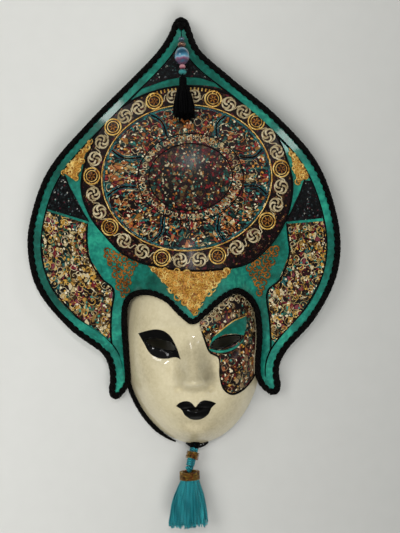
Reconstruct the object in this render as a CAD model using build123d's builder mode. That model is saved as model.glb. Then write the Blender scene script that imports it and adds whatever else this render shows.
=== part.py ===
"""Venetian masquerade mask: a lacquered face under a winged crown, with a bead pendant and a chin tassel.

The back rim lies in the plane y = 0, the face looks along -Y and the mask hangs by the cord loop at the
origin. Every moulded surface is a depth in front of the back plane, worked out by a formula of x and z.
"""
import math
import os

from build123d import *

# Crown with its wings, peak and lobes, all sizes in millimetres
crown_half_width = 160.0
crown_height = 392.7
crown_depth = 52.0
wing_depth = 20.0
crown_wall = 2.5
brow_step = 5.5
ridge_width = 6.5
ridge_rise = 2.0

# Lacquered face, in proportion to the crown that frames it
face_half_width = 0.45 * crown_half_width
face_centre_z = -0.8658 * crown_height
forehead_height = 0.3183 * crown_height
jaw_height = 0.2636 * crown_height
face_depth = 50.0
face_rim = 3.5
face_wall = 2.5
nose_rise = 27.0

# Round medallion that fills the crown
medallion_z = -0.4314 * crown_height
medallion_half_width = 0.6625 * crown_half_width
medallion_half_height = 0.2389 * crown_height

# Papers, panels and gold paste on the surface
glue_line = 0.1
panel_gap = 1.0
paper_thickness = 0.5
panel_thickness = 0.8
gilding_thickness = 1.2

# Braids
braid_clearance = 0.2
edge_braid_width = 7.5
edge_braid_drop = 6.0
braid_rise = 3.0
brow_braid_width = 6.5
brow_braid_drop = 9.0
jaw_braid_width = 5.0
jaw_braid_depth = 6.0
chin_band_width = 24.0
chin_band_drop = 3.5
chin_band_rise = 4.0

# Hanging loop and its patch behind the peak
loop_cord_diameter = 2.0
loop_half_width = 3.5
loop_depth = 3.3
patch_width = 15.0
patch_height = 12.0
patch_thickness = 4.5
patch_top_z = -30.0
notch_width = 14.0
notch_depth = 7.0
notch_height = 15.0

# Bead pendant, its beads threaded from the top down
pendant_z = -18.0
pendant_tilt = 22.6
peak_knot_diameter = 9.2
peak_knot_thickness = 5.0
knot_rounding = 0.45
pendant_setout = 1.4
eye_diameter = 3.2
thread_diameter = 1.2
thread_knot_diameter = 2.0
joint_gap = 0.3
first_bead_drop = 6.2
bore_clearance = 0.1
top_bead_diameter = 6.3
top_bead_height = 5.9
bronze_bead_diameter = 8.4
bronze_bead_height = 6.8
lampwork_diameter = 15.4
lampwork_height = 19.5
pink_bead_diameter = 6.3
pink_bead_height = 5.9
teal_bead_diameter = 8.4
teal_bead_height = 5.1
tassel_head_diameter = 8.0
tassel_head_height = 11.0
tassel_skirt_diameter = 22.0
tassel_skirt_depth = 17.0
tassel_skirt_height = 37.0

# Chin tassel: a stem under the chin, a loose knot and the beaded skirt that swings from it
stem_diameter = 9.0
stem_end_chamfer = 1.0
chin_z = face_centre_z - jaw_height
stem_top = (-1.2, -9.0, chin_z + 3.5)
stem_pivot = (-9.0, -16.0, chin_z - 24.5)
upper_band_diameter = 14.0
upper_band_height = 8.0
upper_band_drop = 12.0
band_clearance = 0.1
band_rounding = 2.0
knot_diameter = 6.0
lower_band_diameter = 21.5
lower_band_height = 9.0
lower_band_bore = 9.0
lower_band_drop = 2.3
chin_skirt_top = 19.0
chin_skirt_width = 40.0
chin_skirt_depth = 24.0
chin_skirt_height = 48.0

# Both skirts: share of the height and of the spread, from the top down
skirt_shape = [(0, 0), (0.35, 0.62), (0.7, 0.9), (1, 1)]

# Working values for cutting prisms
reach = 140.0
crown_grid = 5.0
face_grid = 4.0
skin_tolerance = 0.3
outline_step = 10.0


def bell(distance, width):
    return math.exp(-((distance / width) ** 2))


def blend(start, end, value):
    t = max(0.0, min(1.0, (value - start) / (end - start)))
    return t * t * (3 - 2 * t)


def face_radius(x, z, margin=0.0):
    height = forehead_height if z > face_centre_z else jaw_height
    return math.hypot(x / (face_half_width + margin), (z - face_centre_z) / (height + margin))


def face_dome(radius):
    inside = min(radius, 1.0)
    fall = 0.35 * inside**2 + 0.65 * inside**6 + 4.6 * (radius - inside)
    return face_rim + (face_depth - face_rim) * (1 - fall)


def face_surface(x, z):
    """Depth of the face: a dome with nose, brows, eye sockets, cheeks, mouth and chin."""
    side = abs(x) * 72.0 / face_half_width
    drop = (z - face_centre_z) * 103.5 / jaw_height
    depth = face_dome(face_radius(x, z))
    slope = max(0.0, min(1.0, (14 - drop) / 46))
    nose_width = 6.5 + 8.5 * slope
    depth += nose_rise * slope**1.4 * blend(-45, -35, drop) * math.exp(-((side / nose_width) ** 2.2))
    depth += 2.5 * bell(drop - 19, 7) * bell(side - 30, 24)
    depth -= 8.0 * bell(side - 32, 15) * bell(drop - 2, 12)
    depth += 4.0 * bell(side - 38, 20) * bell(drop + 34, 22)
    depth += 5.0 * bell(side, 24) * bell(drop + 62, 17)
    depth += 11.0 * bell(side, 19) * bell(drop + 90, 13)
    depth -= 2.5 * bell(side, 16) * bell(drop + 79, 4)
    return depth


def crown_surface(x, z):
    """Depth of the crown: wings, the round dome and the brow over the face, blended into one."""
    across = x / (crown_half_width + 8)
    down = (z + 0.48 * crown_height) / (0.55 * crown_height)
    wing = wing_depth - 6 * (across**4 + down**4) - 6 * blend(-0.76 * crown_height, -0.94 * crown_height, z)
    radius = math.hypot(x / medallion_half_width, (z - medallion_z) / medallion_half_height)
    dome = max(0.0, crown_depth * (1 - (radius / 1.775) ** 1.85))
    brow = face_dome(face_radius(x, z, 2.0)) + brow_step - 2.5 * (x / (face_half_width + 3)) ** 2
    return (wing**4 + dome**4 + max(0.0, brow) ** 4) ** 0.25


def skin(surface, half_width, top, bottom, step):
    """The moulded surface as one face, a little larger than the piece that is cut from it."""
    columns = round(2 * half_width / step)
    rows = round((top - bottom) / step)
    points = []
    for i in range(columns + 1):
        x = -half_width + 2 * half_width * i / columns
        heights = [top + (bottom - top) * j / rows for j in range(rows + 1)]
        points.append([Vector(x, -surface(x, z), z) for z in heights])
    return Face.make_surface_from_array_of_points(points, tol=skin_tolerance, min_deg=3)


def lifted(face, rise):
    return face.moved(Location((0, -rise, 0)))


def on_crown(points):
    """Percent of the crown's half width and height, as millimetres in the XZ plane."""
    return [(u * crown_half_width / 100, -v * crown_height / 100) for u, v in points]


def on_medallion(points):
    """Percent of the medallion's half width and half height, from its middle."""
    return [
        (u * medallion_half_width / 100, medallion_z + v * medallion_half_height / 100) for u, v in points
    ]


def on_face(points):
    """Percent of the face's half width and jaw height, from the middle of the face."""
    return [(u * face_half_width / 100, face_centre_z + v * jaw_height / 100) for u, v in points]


crown_skin = skin(crown_surface, crown_half_width + 20, 20, -crown_height - 20, crown_grid)
face_skin = skin(
    face_surface,
    face_half_width + 8,
    face_centre_z + forehead_height + 8,
    face_centre_z - jaw_height - 8,
    face_grid,
)

# Lines that the braids follow: the outer rim and the line where the crown meets the face
lobe_turn_right = on_crown([(53.6, 98.6), (52.0, 99.9), (49.0, 99.9)])
lobe_turn_left = on_crown([(-53.9, 98.2), (-52.6, 99.5), (-50.0, 99.3)])
rim_top = [(-4.4, -7.5), (0, -4.2), (4.4, -7.5)]
rim_right = on_crown([
    (4.3, 4.1), (9.3, 9.5), (28.0, 17.5), (58.5, 28.9), (81.5, 40.2), (92.0, 51.2), (95.5, 61.1),
    (92.0, 69.8), (77.0, 80.6), (59.0, 88.4), (53.4, 92.6), (52.8, 96.0),
])
rim_left = on_crown([
    (-5.6, 4.6), (-13.3, 9.5), (-31.4, 17.2), (-61.2, 28.7), (-87.4, 40.1), (-99.4, 51.2),
    (-102.7, 59.3), (-97.9, 69.7), (-77.6, 80.7), (-56.3, 88.2), (-53.0, 92.4), (-53.0, 95.8),
])
brow_point = on_face([(0.7, 25.1)])[0]
brow_right = on_face([
    (100, -44.9), (94.4, -38.6), (91.0, -30.9), (91.1, -19.3), (95.1, 3.9), (95.0, 21.3),
    (91.0, 35.8), (79.2, 47.3), (64.4, 52.9), (48.6, 49.3), (35.0, 43.0), (16.9, 32.4),
])
brow_left = on_face([
    (-103.2, -42.0), (-97.2, -33.8), (-96.3, -21.3), (-96.9, -2.9), (-98.0, 19.3),
    (-97.2, 35.7), (-92.4, 46.9), (-80.6, 53.1), (-57.6, 54.4), (-33.0, 46.9), (-21.8, 38.6), (-13.8, 32.7),
])

with BuildLine() as rim_line:
    ThreePointArc(*rim_top)
    Spline(rim_top[2], *rim_right, lobe_turn_right[0])
    ThreePointArc(*lobe_turn_right)
    Spline(rim_top[0], *rim_left, lobe_turn_left[0])
    ThreePointArc(*lobe_turn_left)

with BuildLine() as brow_line:
    Spline(lobe_turn_right[2], *brow_right, brow_point)
    Spline(lobe_turn_left[2], *brow_left, brow_point)

with BuildLine() as plate_line:
    add(rim_line.line)
    Line(lobe_turn_right[2], lobe_turn_left[2])

with BuildSketch(Plane.XZ) as crown_plate:
    add(plate_line.line)
    make_face()

with BuildSketch(Plane.XZ) as crown_outline:
    add(rim_line.line)
    add(brow_line.line)
    make_face()


def grown(outline, amount):
    """The outline moved out by an amount all round, or in where it is negative, as splines and arcs."""
    with BuildSketch(Plane.XZ) as area:
        add(outline)
        offset(amount=amount, mode=Mode.REPLACE)
    with BuildSketch(Plane.XZ) as smooth:
        for face in area.sketch_local.faces():
            with BuildLine():
                for edge in face.outer_wire().edges():
                    if edge.geom_type == GeomType.OFFSET:
                        spans = max(2, round(edge.length / outline_step))
                        Spline(*[edge @ (i / spans) for i in range(spans + 1)])
                    else:
                        add(edge)
            make_face()
    return smooth.sketch


eye_paper_corners = [
    (10.1, 22.2), (16.4, 7.5), (23.2, -5.4), (35.0, -10.7), (36.7, -15.5), (36.5, -29.9), (40.8, -42.0),
    (52.0, -47.9), (66.6, -45.3), (82.1, -36.0), (110, -20), (110, 60), (20, 60),
]
jaw_corner = [(-110, -42.8), (-60, -42.8), (-29.9, -95.3), (-60, -110), (-110, -110)]

# The medallion is round above and squarer at its lower right
medallion_points = [
    (0, 100), (70.7, 70.7), (100, 0), (99.2, -27.6), (90.7, -54.4), (77.5, -75.5), (57.6, -93.2),
    (38.0, -98.8), (0, -100), (-38.3, -92.2), (-62.1, -80.4), (-80.5, -57.9), (-94.2, -35.6),
    (-101, 0), (-70.7, 70.7),
]
edge_half = edge_braid_width / 2
brow_half = brow_braid_width / 2
with BuildSketch(Plane.XZ) as edge_band:
    add(grown(crown_plate.sketch, edge_half))
    add(grown(crown_plate.sketch, -edge_half), mode=Mode.SUBTRACT)
    with BuildLine():
        Polyline(
            lobe_turn_right[2],
            (lobe_turn_right[2][0], -crown_height - edge_braid_width),
            (lobe_turn_left[2][0], -crown_height - edge_braid_width),
            lobe_turn_left[2],
            (lobe_turn_left[2][0], lobe_turn_left[2][1] + edge_braid_width),
            (lobe_turn_right[2][0], lobe_turn_right[2][1] + edge_braid_width),
            close=True,
        )
    make_face(mode=Mode.SUBTRACT)

with BuildSketch(Plane.XZ) as brow_band:
    add(grown(crown_outline.sketch, brow_half))
    add(grown(crown_outline.sketch, -brow_half), mode=Mode.SUBTRACT)
    add(grown(crown_plate.sketch, -edge_half - braid_clearance), mode=Mode.INTERSECT)

with BuildSketch(Plane.XZ) as ridge_band:
    add(grown(crown_plate.sketch, -edge_half - braid_clearance))
    add(grown(crown_plate.sketch, -edge_half - ridge_width), mode=Mode.SUBTRACT)
    add(grown(crown_outline.sketch, -brow_half - braid_clearance), mode=Mode.INTERSECT)

with BuildSketch(Plane.XZ) as panel_field:
    add(grown(crown_plate.sketch, -edge_half - ridge_width - panel_gap))
    add(grown(crown_outline.sketch, -brow_half - panel_gap), mode=Mode.INTERSECT)

with BuildSketch(Plane.XZ) as medallion_outline:
    with BuildLine():
        Spline(*on_medallion(medallion_points), periodic=True)
    make_face()
medallion_margin = grown(medallion_outline.sketch, panel_gap)


def solid_under(surface, rise, area):
    """Everything between the back plane and a moulded surface lifted by a rise, inside the area."""
    with BuildPart() as piece:
        with BuildSketch(Plane.XZ):
            add(area)
        extrude(amount=reach)
        extrude(lifted(surface, rise), amount=2 * reach, dir=(0, -1, 0), mode=Mode.SUBTRACT)
    return piece.part


def layer(surface, area, bottom, top):
    """A layer over part of a moulded surface, from one rise above it to another."""
    with BuildPart() as piece:
        add(solid_under(surface, top, area))
        extrude(lifted(surface, bottom), amount=reach, dir=(0, 1, 0), mode=Mode.SUBTRACT)
    return piece.part


def face_area(margin):
    """The outline of the face in front view, with a margin all round."""
    centre = (0, face_centre_z)
    with BuildSketch(Plane.XZ) as area:
        with BuildLine():
            EllipticalCenterArc(centre, face_half_width + margin, forehead_height + margin, arc_size=180)
            EllipticalCenterArc(centre, face_half_width + margin, jaw_height + margin, 180, arc_size=180)
        make_face()
    return area.sketch


def panel_area(points):
    """A panel's outline, cut back to the field inside the ridge and round the medallion."""
    with BuildSketch(Plane.XZ) as area:
        with BuildLine():
            Polyline(*points, close=True)
        make_face()
        add(panel_field.sketch, mode=Mode.INTERSECT)
        add(medallion_margin, mode=Mode.SUBTRACT)
    return area.sketch


# Crown: a moulded tray, open at the back, with a ridge inside its rim and a notch for the loop
crown_block = solid_under(crown_skin, 0, crown_outline.sketch)
with BuildPart() as headpiece_shell:
    add(crown_block)
    add(solid_under(crown_skin, -crown_wall, grown(crown_plate.sketch, -crown_wall)), mode=Mode.SUBTRACT)
    with Locations((0, 0, rim_top[1][1])):
        Box(notch_width, 2 * notch_depth, 2 * notch_height, mode=Mode.SUBTRACT)

# Face: a domed shell with its eye openings, its forehead hidden under the crown
eye_right = on_face([
    (24.8, -2.8), (28.5, 5.0), (45.0, 9.1), (66.0, 8.9), (67.6, 6.6), (57.6, 1.2), (41.1, -2.5),
])
with BuildSketch(Plane.XZ) as eye_openings:
    with BuildLine():
        Spline(*eye_right, periodic=True)
    make_face()
    mirror(about=Plane.YZ)

face_block = solid_under(face_skin, 0, face_area(0))
with BuildPart() as face_shell:
    add(face_block)
    add(solid_under(face_skin, -face_wall, face_area(-face_wall)), mode=Mode.SUBTRACT)
    with BuildSketch(Plane.XZ):
        add(eye_openings.sketch)
    extrude(amount=reach, mode=Mode.SUBTRACT)

# Braids glued over the rim, over the joint between crown and face, and round the jaw
crown_under_braid = solid_under(crown_skin, glue_line, crown_outline.sketch)
face_under_braid = solid_under(face_skin, braid_clearance, face_area(braid_clearance))
with BuildPart() as edge_braid:
    add(layer(crown_skin, edge_band.sketch, -edge_braid_drop, braid_rise))
    add(crown_under_braid, mode=Mode.SUBTRACT)

with BuildPart() as brow_braid:
    add(layer(crown_skin, brow_band.sketch, -brow_braid_drop, braid_rise))
    add(crown_under_braid, mode=Mode.SUBTRACT)
    add(face_under_braid, mode=Mode.SUBTRACT)

with BuildSketch(Plane.XZ) as jaw_area:
    add(face_area(braid_clearance + jaw_braid_width))
    add(face_area(braid_clearance), mode=Mode.SUBTRACT)
    with BuildLine():
        Polyline(*on_face(jaw_corner), close=True)
    make_face(mode=Mode.INTERSECT)
with BuildPart() as jaw_braid:
    with BuildSketch(Plane.XZ):
        add(jaw_area.sketch)
    extrude(amount=jaw_braid_depth)

with BuildSketch(Plane.XZ) as chin_area:
    add(face_area(chin_band_drop))
    with Locations((0, face_centre_z - jaw_height)):
        Rectangle(chin_band_width, 4 * chin_band_drop, mode=Mode.INTERSECT)
with BuildPart() as chin_band:
    add(solid_under(face_skin, chin_band_rise, chin_area.sketch))
    add(face_under_braid, mode=Mode.SUBTRACT)

# Papers, panels and gold paste, all between the ridge and the braids
with BuildSketch(Plane.XZ) as medallion_area:
    add(medallion_outline.sketch)
    add(panel_field.sketch, mode=Mode.INTERSECT)
medallion_disc = layer(crown_skin, medallion_area.sketch, glue_line, panel_thickness)
rim_ridge = layer(crown_skin, ridge_band.sketch, glue_line, ridge_rise)
panel_outlines = {
    "wing_paper_right": (paper_thickness, [
        (62.0, 55.9), (100, 55.2), (100, 70), (70, 90), (50.4, 86.1), (50.1, 80.8), (49.4, 73.2),
        (57.0, 70.1), (63.6, 63.7), (63.1, 59.5),
    ]),
    "wing_paper_left": (paper_thickness, [
        (-110, 46.5), (-90.8, 50.0), (-64.0, 53.9), (-65.1, 57.3), (-64.0, 63.0), (-56.3, 68.3),
        (-50.2, 71.1), (-52.2, 77.1), (-53.6, 83.7), (-70, 90), (-110, 70),
    ]),
    "corner_panel_right": (panel_thickness, [(75.3, 44.8), (62.0, 55.3), (95, 54.4), (95, 44.8)]),
    "corner_panel_left": (panel_thickness, [
        (-78.2, 41.2), (-95, 41.2), (-110, 45.9), (-90.8, 49.4), (-63.5, 53.3),
    ]),
    "peak_panel": (panel_thickness, [
        (-3, 6), (-28, 19.6), (-10.0, 17.3), (0, 16.7), (10.5, 17.1), (32, 20.4), (5, 6),
    ]),
    "upper_gilding_right": (gilding_thickness, [
        (60, 30), (65, 35), (70.3, 45.4), (77, 44), (90, 40), (90, 30),
    ]),
    "upper_gilding_left": (gilding_thickness, [
        (-53, 27), (-60, 32.5), (-70.5, 42.7), (-77.5, 40.6), (-86, 39.8), (-95, 36), (-85, 27),
    ]),
    "lower_gilding_right": (gilding_thickness, [(57.1, 61.8), (33.0, 64.0), (45.3, 75.5), (52.4, 66.4)]),
    "lower_gilding_left": (gilding_thickness, [(-57.1, 60.5), (-32.0, 62.0), (-43.6, 75.1), (-51.6, 65.2)]),
    "brow_gilding": (gilding_thickness, [
        (-26.5, 65.4), (0, 60), (29, 66.0), (11.9, 72.4),
        (6.6, 75.1), (1.3, 78.6), (-5.8, 74.7), (-13.7, 71.2),
    ]),
}
panels = {
    name: layer(crown_skin, panel_area(on_crown(points)), glue_line, thickness)
    for name, (thickness, points) in panel_outlines.items()
}

with BuildSketch(Plane.XZ) as eye_paper_area:
    with BuildLine():
        Polyline(*on_face(eye_paper_corners), close=True)
    make_face()
    add(face_area(-panel_gap), mode=Mode.INTERSECT)
    add(grown(crown_outline.sketch, brow_half + panel_gap), mode=Mode.SUBTRACT)
    add(grown(eye_openings.sketch, paper_thickness), mode=Mode.SUBTRACT)
eye_paper = layer(face_skin, eye_paper_area.sketch, glue_line, paper_thickness)

# Hanging loop: one piece of cord, both ends glued into a patch behind the peak
patch_front = -crown_surface(0, patch_top_z) + crown_wall + glue_line
patch_middle = patch_front + patch_thickness / 2
loop_top = loop_cord_diameter / 2
loop_points = [
    (loop_half_width, patch_middle, patch_top_z - patch_height / 2),
    (loop_half_width, patch_middle, patch_top_z + loop_cord_diameter),
    (loop_half_width, -loop_depth, -notch_height),
    (loop_half_width, -loop_depth, loop_top),
]
loop_route = loop_points + [(-x, y, z) for x, y, z in reversed(loop_points)]


def corner_radius(before, corner, after):
    """The largest gentle arc at a corner: nearly half of its shorter run."""
    run_in = Vector(*corner) - Vector(*before)
    run_out = Vector(*after) - Vector(*corner)
    half_turn = math.radians(run_in.get_angle(run_out) / 2)
    return 0.45 * min(run_in.length, run_out.length) / math.tan(half_turn)


loop_radii = [corner_radius(*loop_route[i : i + 3]) for i in range(len(loop_route) - 2)]
print("loop radii:", [round(radius, 1) for radius in loop_radii])
with BuildLine() as loop_path:
    FilletPolyline(*loop_route, radius=loop_radii)
with BuildPart() as hang_loop:
    with BuildSketch(Plane(origin=loop_route[0], z_dir=(0, 0, 1))):
        Circle(loop_cord_diameter / 2)
    sweep(path=loop_path.line)
loop_length = sum(edge.length for edge in loop_path.edges())
loop_section = math.pi * loop_cord_diameter**2 / 4
print("loop cord length:", round(loop_length, 1))
loop_share = hang_loop.part.volume / loop_section / loop_length
print("loop cord volume by section and length:", round(loop_share, 4))

with BuildPart() as loop_patch:
    with Locations((0, patch_middle, patch_top_z - patch_height / 2)):
        Box(patch_width, patch_thickness, patch_height)
    add(solid_under(crown_skin, -crown_wall - glue_line, crown_plate.sketch), mode=Mode.INTERSECT)
    add(hang_loop.part, mode=Mode.SUBTRACT)

# Knot on the peak, and the eye of the pendant just under it
knot_z = pendant_z + eye_diameter / 2 + joint_gap + peak_knot_diameter / 2
knot_depth = crown_surface(0, knot_z) + braid_rise + joint_gap + peak_knot_thickness / 2
with BuildPart() as peak_knot:
    with Locations((0, -knot_depth, knot_z)):
        Cylinder(peak_knot_diameter / 2, peak_knot_thickness, rotation=(90, 0, 0))
    fillet(peak_knot.edges().filter_by(GeomType.CIRCLE), peak_knot_thickness * knot_rounding)

pendant_pivot = Vector(0, -knot_depth - pendant_setout, pendant_z)
with BuildPart() as pendant_eye:
    with Locations(pendant_pivot):
        Sphere(eye_diameter / 2)

# Pendant string: it hangs from the pivot at a tilt, and everything on it is turned about it
tilt = math.radians(pendant_tilt)
string_plane = Plane(pendant_pivot, x_dir=(1, 0, 0), z_dir=(0, -math.cos(tilt), math.sin(tilt)))
string_axis = Axis(pendant_pivot, string_plane.y_dir)
bead_bore = thread_diameter + bore_clearance


def across_string(drop):
    """The plane square to the string, a given way down from the pivot."""
    return Plane(pendant_pivot - string_plane.y_dir * drop, x_dir=(1, 0, 0), z_dir=string_plane.y_dir)


def bead(diameter, height, drop):
    """A rounded bead on the string, its top a given way down from the pivot."""
    with BuildPart() as piece:
        with BuildSketch(string_plane):
            with Locations((0, -drop - height / 2)):
                Ellipse(diameter / 2, height / 2)
                Rectangle(bead_bore, height, mode=Mode.SUBTRACT)
                Rectangle(diameter, height, align=(Align.MAX, Align.CENTER), mode=Mode.SUBTRACT)
        revolve(axis=string_axis)
    return piece.part


bead_sizes = {
    "top_bead": (top_bead_diameter, top_bead_height),
    "bronze_bead": (bronze_bead_diameter, bronze_bead_height),
    "lampwork_bead": (lampwork_diameter, lampwork_height),
    "pink_bead": (pink_bead_diameter, pink_bead_height),
    "teal_bead": (teal_bead_diameter, teal_bead_height),
}
beads = {}
drop = first_bead_drop
for name, (diameter, height) in bead_sizes.items():
    beads[name] = bead(diameter, height, drop)
    drop += height + joint_gap

cord_top = eye_diameter / 2 + joint_gap
cord_knot_drop = drop + thread_knot_diameter / 2
with BuildPart() as pendant_cord:
    with BuildSketch(across_string(cord_top)):
        Circle(thread_diameter / 2)
    extrude(amount=cord_top - cord_knot_drop)
    with Locations(across_string(cord_knot_drop).origin):
        Sphere(thread_knot_diameter / 2)

# Pendant tassel: a bound head with a domed top, and a skirt of threads
head_top = cord_knot_drop + thread_knot_diameter / 2 + joint_gap
head_bottom = head_top + tassel_head_height
with BuildPart() as pendant_tassel_head:
    with BuildSketch(across_string(head_bottom)):
        Circle(tassel_head_diameter / 2)
    extrude(amount=tassel_head_height)
    fillet(pendant_tassel_head.edges().sort_by(Axis.Z)[-1], tassel_head_diameter / 2 - joint_gap)

with BuildPart() as pendant_tassel_skirt:
    for share, spread in skirt_shape:
        with BuildSketch(across_string(head_bottom + glue_line + share * tassel_skirt_height)):
            Ellipse(
                (tassel_head_diameter + spread * (tassel_skirt_diameter - tassel_head_diameter)) / 2,
                (tassel_head_diameter + spread * (tassel_skirt_depth - tassel_head_diameter)) / 2,
            )
    loft()

# Chin tassel: a bound stem leaning from under the chin, with a band of beads round it
stem_direction = Vector(*stem_pivot) - Vector(*stem_top)
stem_plane = Plane(stem_top, x_dir=(0, 1, 0), z_dir=stem_direction)
stem_length = stem_direction.length - knot_diameter / 2 - joint_gap
with BuildPart() as chin_tassel_stem:
    with BuildSketch(stem_plane):
        Circle(stem_diameter / 2)
    extrude(amount=stem_length)
    chamfer(chin_tassel_stem.edges().sort_by(Axis.Z)[0], stem_end_chamfer)
    add(
        solid_under(face_skin, chin_band_rise + braid_clearance, face_area(chin_band_drop + braid_clearance)),
        mode=Mode.SUBTRACT,
    )

with BuildPart() as upper_bead_band:
    with BuildSketch(stem_plane.offset(upper_band_drop)):
        Circle(upper_band_diameter / 2)
        Circle(stem_diameter / 2 + band_clearance, mode=Mode.SUBTRACT)
    extrude(amount=upper_band_height)
    fillet(upper_bead_band.edges().group_by(SortBy.LENGTH)[-1], band_rounding)

with BuildPart() as chin_tassel_knot:
    with Locations(stem_pivot):
        Sphere(knot_diameter / 2)

# Beaded skirt: a wide band, and the threads that pass up through it to the knot
band_plane = Plane(stem_pivot, x_dir=(1, 0, 0), z_dir=(0, 0, -1)).offset(lower_band_drop)
with BuildPart() as lower_bead_band:
    with BuildSketch(band_plane):
        Circle(lower_band_diameter / 2)
        Circle(lower_band_bore / 2, mode=Mode.SUBTRACT)
    extrude(amount=lower_band_height)
    fillet(lower_bead_band.edges().group_by(SortBy.LENGTH)[-1], band_rounding)

skirt_plane = band_plane.offset(lower_band_height + glue_line)
neck_length = lower_band_drop + lower_band_height + glue_line - knot_diameter / 2 - joint_gap
with BuildPart() as chin_tassel_skirt:
    for share, spread in skirt_shape:
        with BuildSketch(skirt_plane.offset(share * chin_skirt_height)):
            Ellipse(
                (chin_skirt_top + spread * (chin_skirt_width - chin_skirt_top)) / 2,
                (chin_skirt_top + spread * (chin_skirt_depth - chin_skirt_top)) / 2,
            )
    loft()
    with BuildSketch(skirt_plane):
        Circle(lower_band_bore / 2 - band_clearance)
    extrude(amount=-neck_length)

pieces = {
    "headpiece_shell": headpiece_shell.part,
    "face_shell": face_shell.part,
    "edge_braid": edge_braid.part,
    "brow_braid": brow_braid.part,
    "jaw_braid": jaw_braid.part,
    "chin_band": chin_band.part,
    "rim_ridge": rim_ridge,
    "medallion_disc": medallion_disc,
    "eye_paper": eye_paper,
    "hang_loop": hang_loop.part,
    "loop_patch": loop_patch.part,
    "peak_knot": peak_knot.part,
    "pendant_eye": pendant_eye.part,
    "pendant_cord": pendant_cord.part,
    "pendant_tassel_head": pendant_tassel_head.part,
    "pendant_tassel_skirt": pendant_tassel_skirt.part,
    "chin_tassel_stem": chin_tassel_stem.part,
    "upper_bead_band": upper_bead_band.part,
    "chin_tassel_knot": chin_tassel_knot.part,
    "lower_bead_band": lower_bead_band.part,
    "chin_tassel_skirt": chin_tassel_skirt.part,
}
pieces.update(panels)
pieces.update(beads)
for name, piece in pieces.items():
    piece.label = name
    export_step(piece, f"parts/{name}.step")
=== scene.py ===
import math
import random
from functools import partial

import bpy
import numpy as np
from mathutils import Matrix, Vector


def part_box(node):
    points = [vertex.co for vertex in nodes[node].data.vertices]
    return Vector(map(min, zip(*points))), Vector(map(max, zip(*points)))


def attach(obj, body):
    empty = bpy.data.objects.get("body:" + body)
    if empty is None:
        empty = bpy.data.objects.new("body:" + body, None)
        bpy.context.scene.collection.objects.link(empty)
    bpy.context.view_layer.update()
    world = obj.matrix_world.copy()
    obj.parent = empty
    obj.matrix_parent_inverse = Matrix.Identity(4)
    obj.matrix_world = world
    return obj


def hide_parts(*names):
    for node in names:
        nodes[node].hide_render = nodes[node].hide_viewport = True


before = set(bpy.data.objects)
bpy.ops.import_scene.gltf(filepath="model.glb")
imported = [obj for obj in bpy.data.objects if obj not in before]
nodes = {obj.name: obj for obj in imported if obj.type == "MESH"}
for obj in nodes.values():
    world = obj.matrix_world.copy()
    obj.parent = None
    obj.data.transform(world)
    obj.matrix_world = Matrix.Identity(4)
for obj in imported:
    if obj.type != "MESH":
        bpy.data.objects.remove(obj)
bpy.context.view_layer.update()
print("frame loaded:", len(nodes), "nodes")

# The moulds that the shells were pressed on, in millimetres, as in the part's source
face = {"centreZ": -340.0, "halfWidth": 72.0, "forehead": 125.0, "jaw": 103.5,
        "depth": 50.0, "rim": 3.5, "nose": 27.0}
crown = {"halfWidth": 160.0, "height": 392.7, "depth": 52.0, "wing": 20.0, "browStep": 5.5}
medallion = {"z": -169.4, "halfWidth": 106.0, "halfHeight": 93.8}


def bell(distance, width):
    return np.exp(-((distance / width) ** 2))


def ease(start, end, value):
    t = np.clip((value - start) / (end - start), 0, 1)
    return t * t * (3 - 2 * t)


def faceRadius(x, z, margin=0.0):
    height = np.where(z > face["centreZ"], face["forehead"], face["jaw"]) + margin
    return np.hypot(x / (face["halfWidth"] + margin), (z - face["centreZ"]) / height)


def faceDome(radius):
    inside = np.minimum(radius, 1.0)
    fall = 0.35 * inside**2 + 0.65 * inside**6 + 4.6 * (radius - inside)
    return face["rim"] + (face["depth"] - face["rim"]) * (1 - fall)


def faceMould(x, z):  # how far the lacquered face stands in front of the back plane
    side = np.abs(x)
    drop = z - face["centreZ"]
    slope = np.clip((14 - drop) / 46, 0, 1)
    nose = face["nose"] * slope**1.4 * ease(-45, -35, drop)
    depth = faceDome(faceRadius(x, z)) + nose * np.exp(-((side / (6.5 + 8.5 * slope)) ** 2.2))
    depth += 2.5 * bell(drop - 19, 7) * bell(side - 30, 24)  # brows
    depth -= 8.0 * bell(side - 32, 15) * bell(drop - 2, 12)  # eye hollows
    depth += 4.0 * bell(side - 38, 20) * bell(drop + 34, 22)  # cheeks
    depth += 5.0 * bell(side, 24) * bell(drop + 62, 17)  # mouth
    depth += 11.0 * bell(side, 19) * bell(drop + 90, 13)  # chin
    depth -= 2.5 * bell(side, 16) * bell(drop + 79, 4)  # dip above the chin
    return depth


def crownMould(x, z):  # the same for the crown: wings, round dome and brow in one
    across = x / (crown["halfWidth"] + 8)
    down = (z + 0.48 * crown["height"]) / (0.55 * crown["height"])
    tip = ease(-0.76 * crown["height"], -0.94 * crown["height"], z)
    wing = crown["wing"] - 6 * (across**4 + down**4) - 6 * tip
    radius = np.hypot(x / medallion["halfWidth"], (z - medallion["z"]) / medallion["halfHeight"])
    dome = np.maximum(0, crown["depth"] * (1 - (radius / 1.775) ** 1.85))
    brow = faceDome(faceRadius(x, z, 2.0)) + crown["browStep"] - 2.5 * (x / (face["halfWidth"] + 3)) ** 2
    return (wing**4 + dome**4 + np.maximum(0, brow) ** 4) ** 0.25


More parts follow.
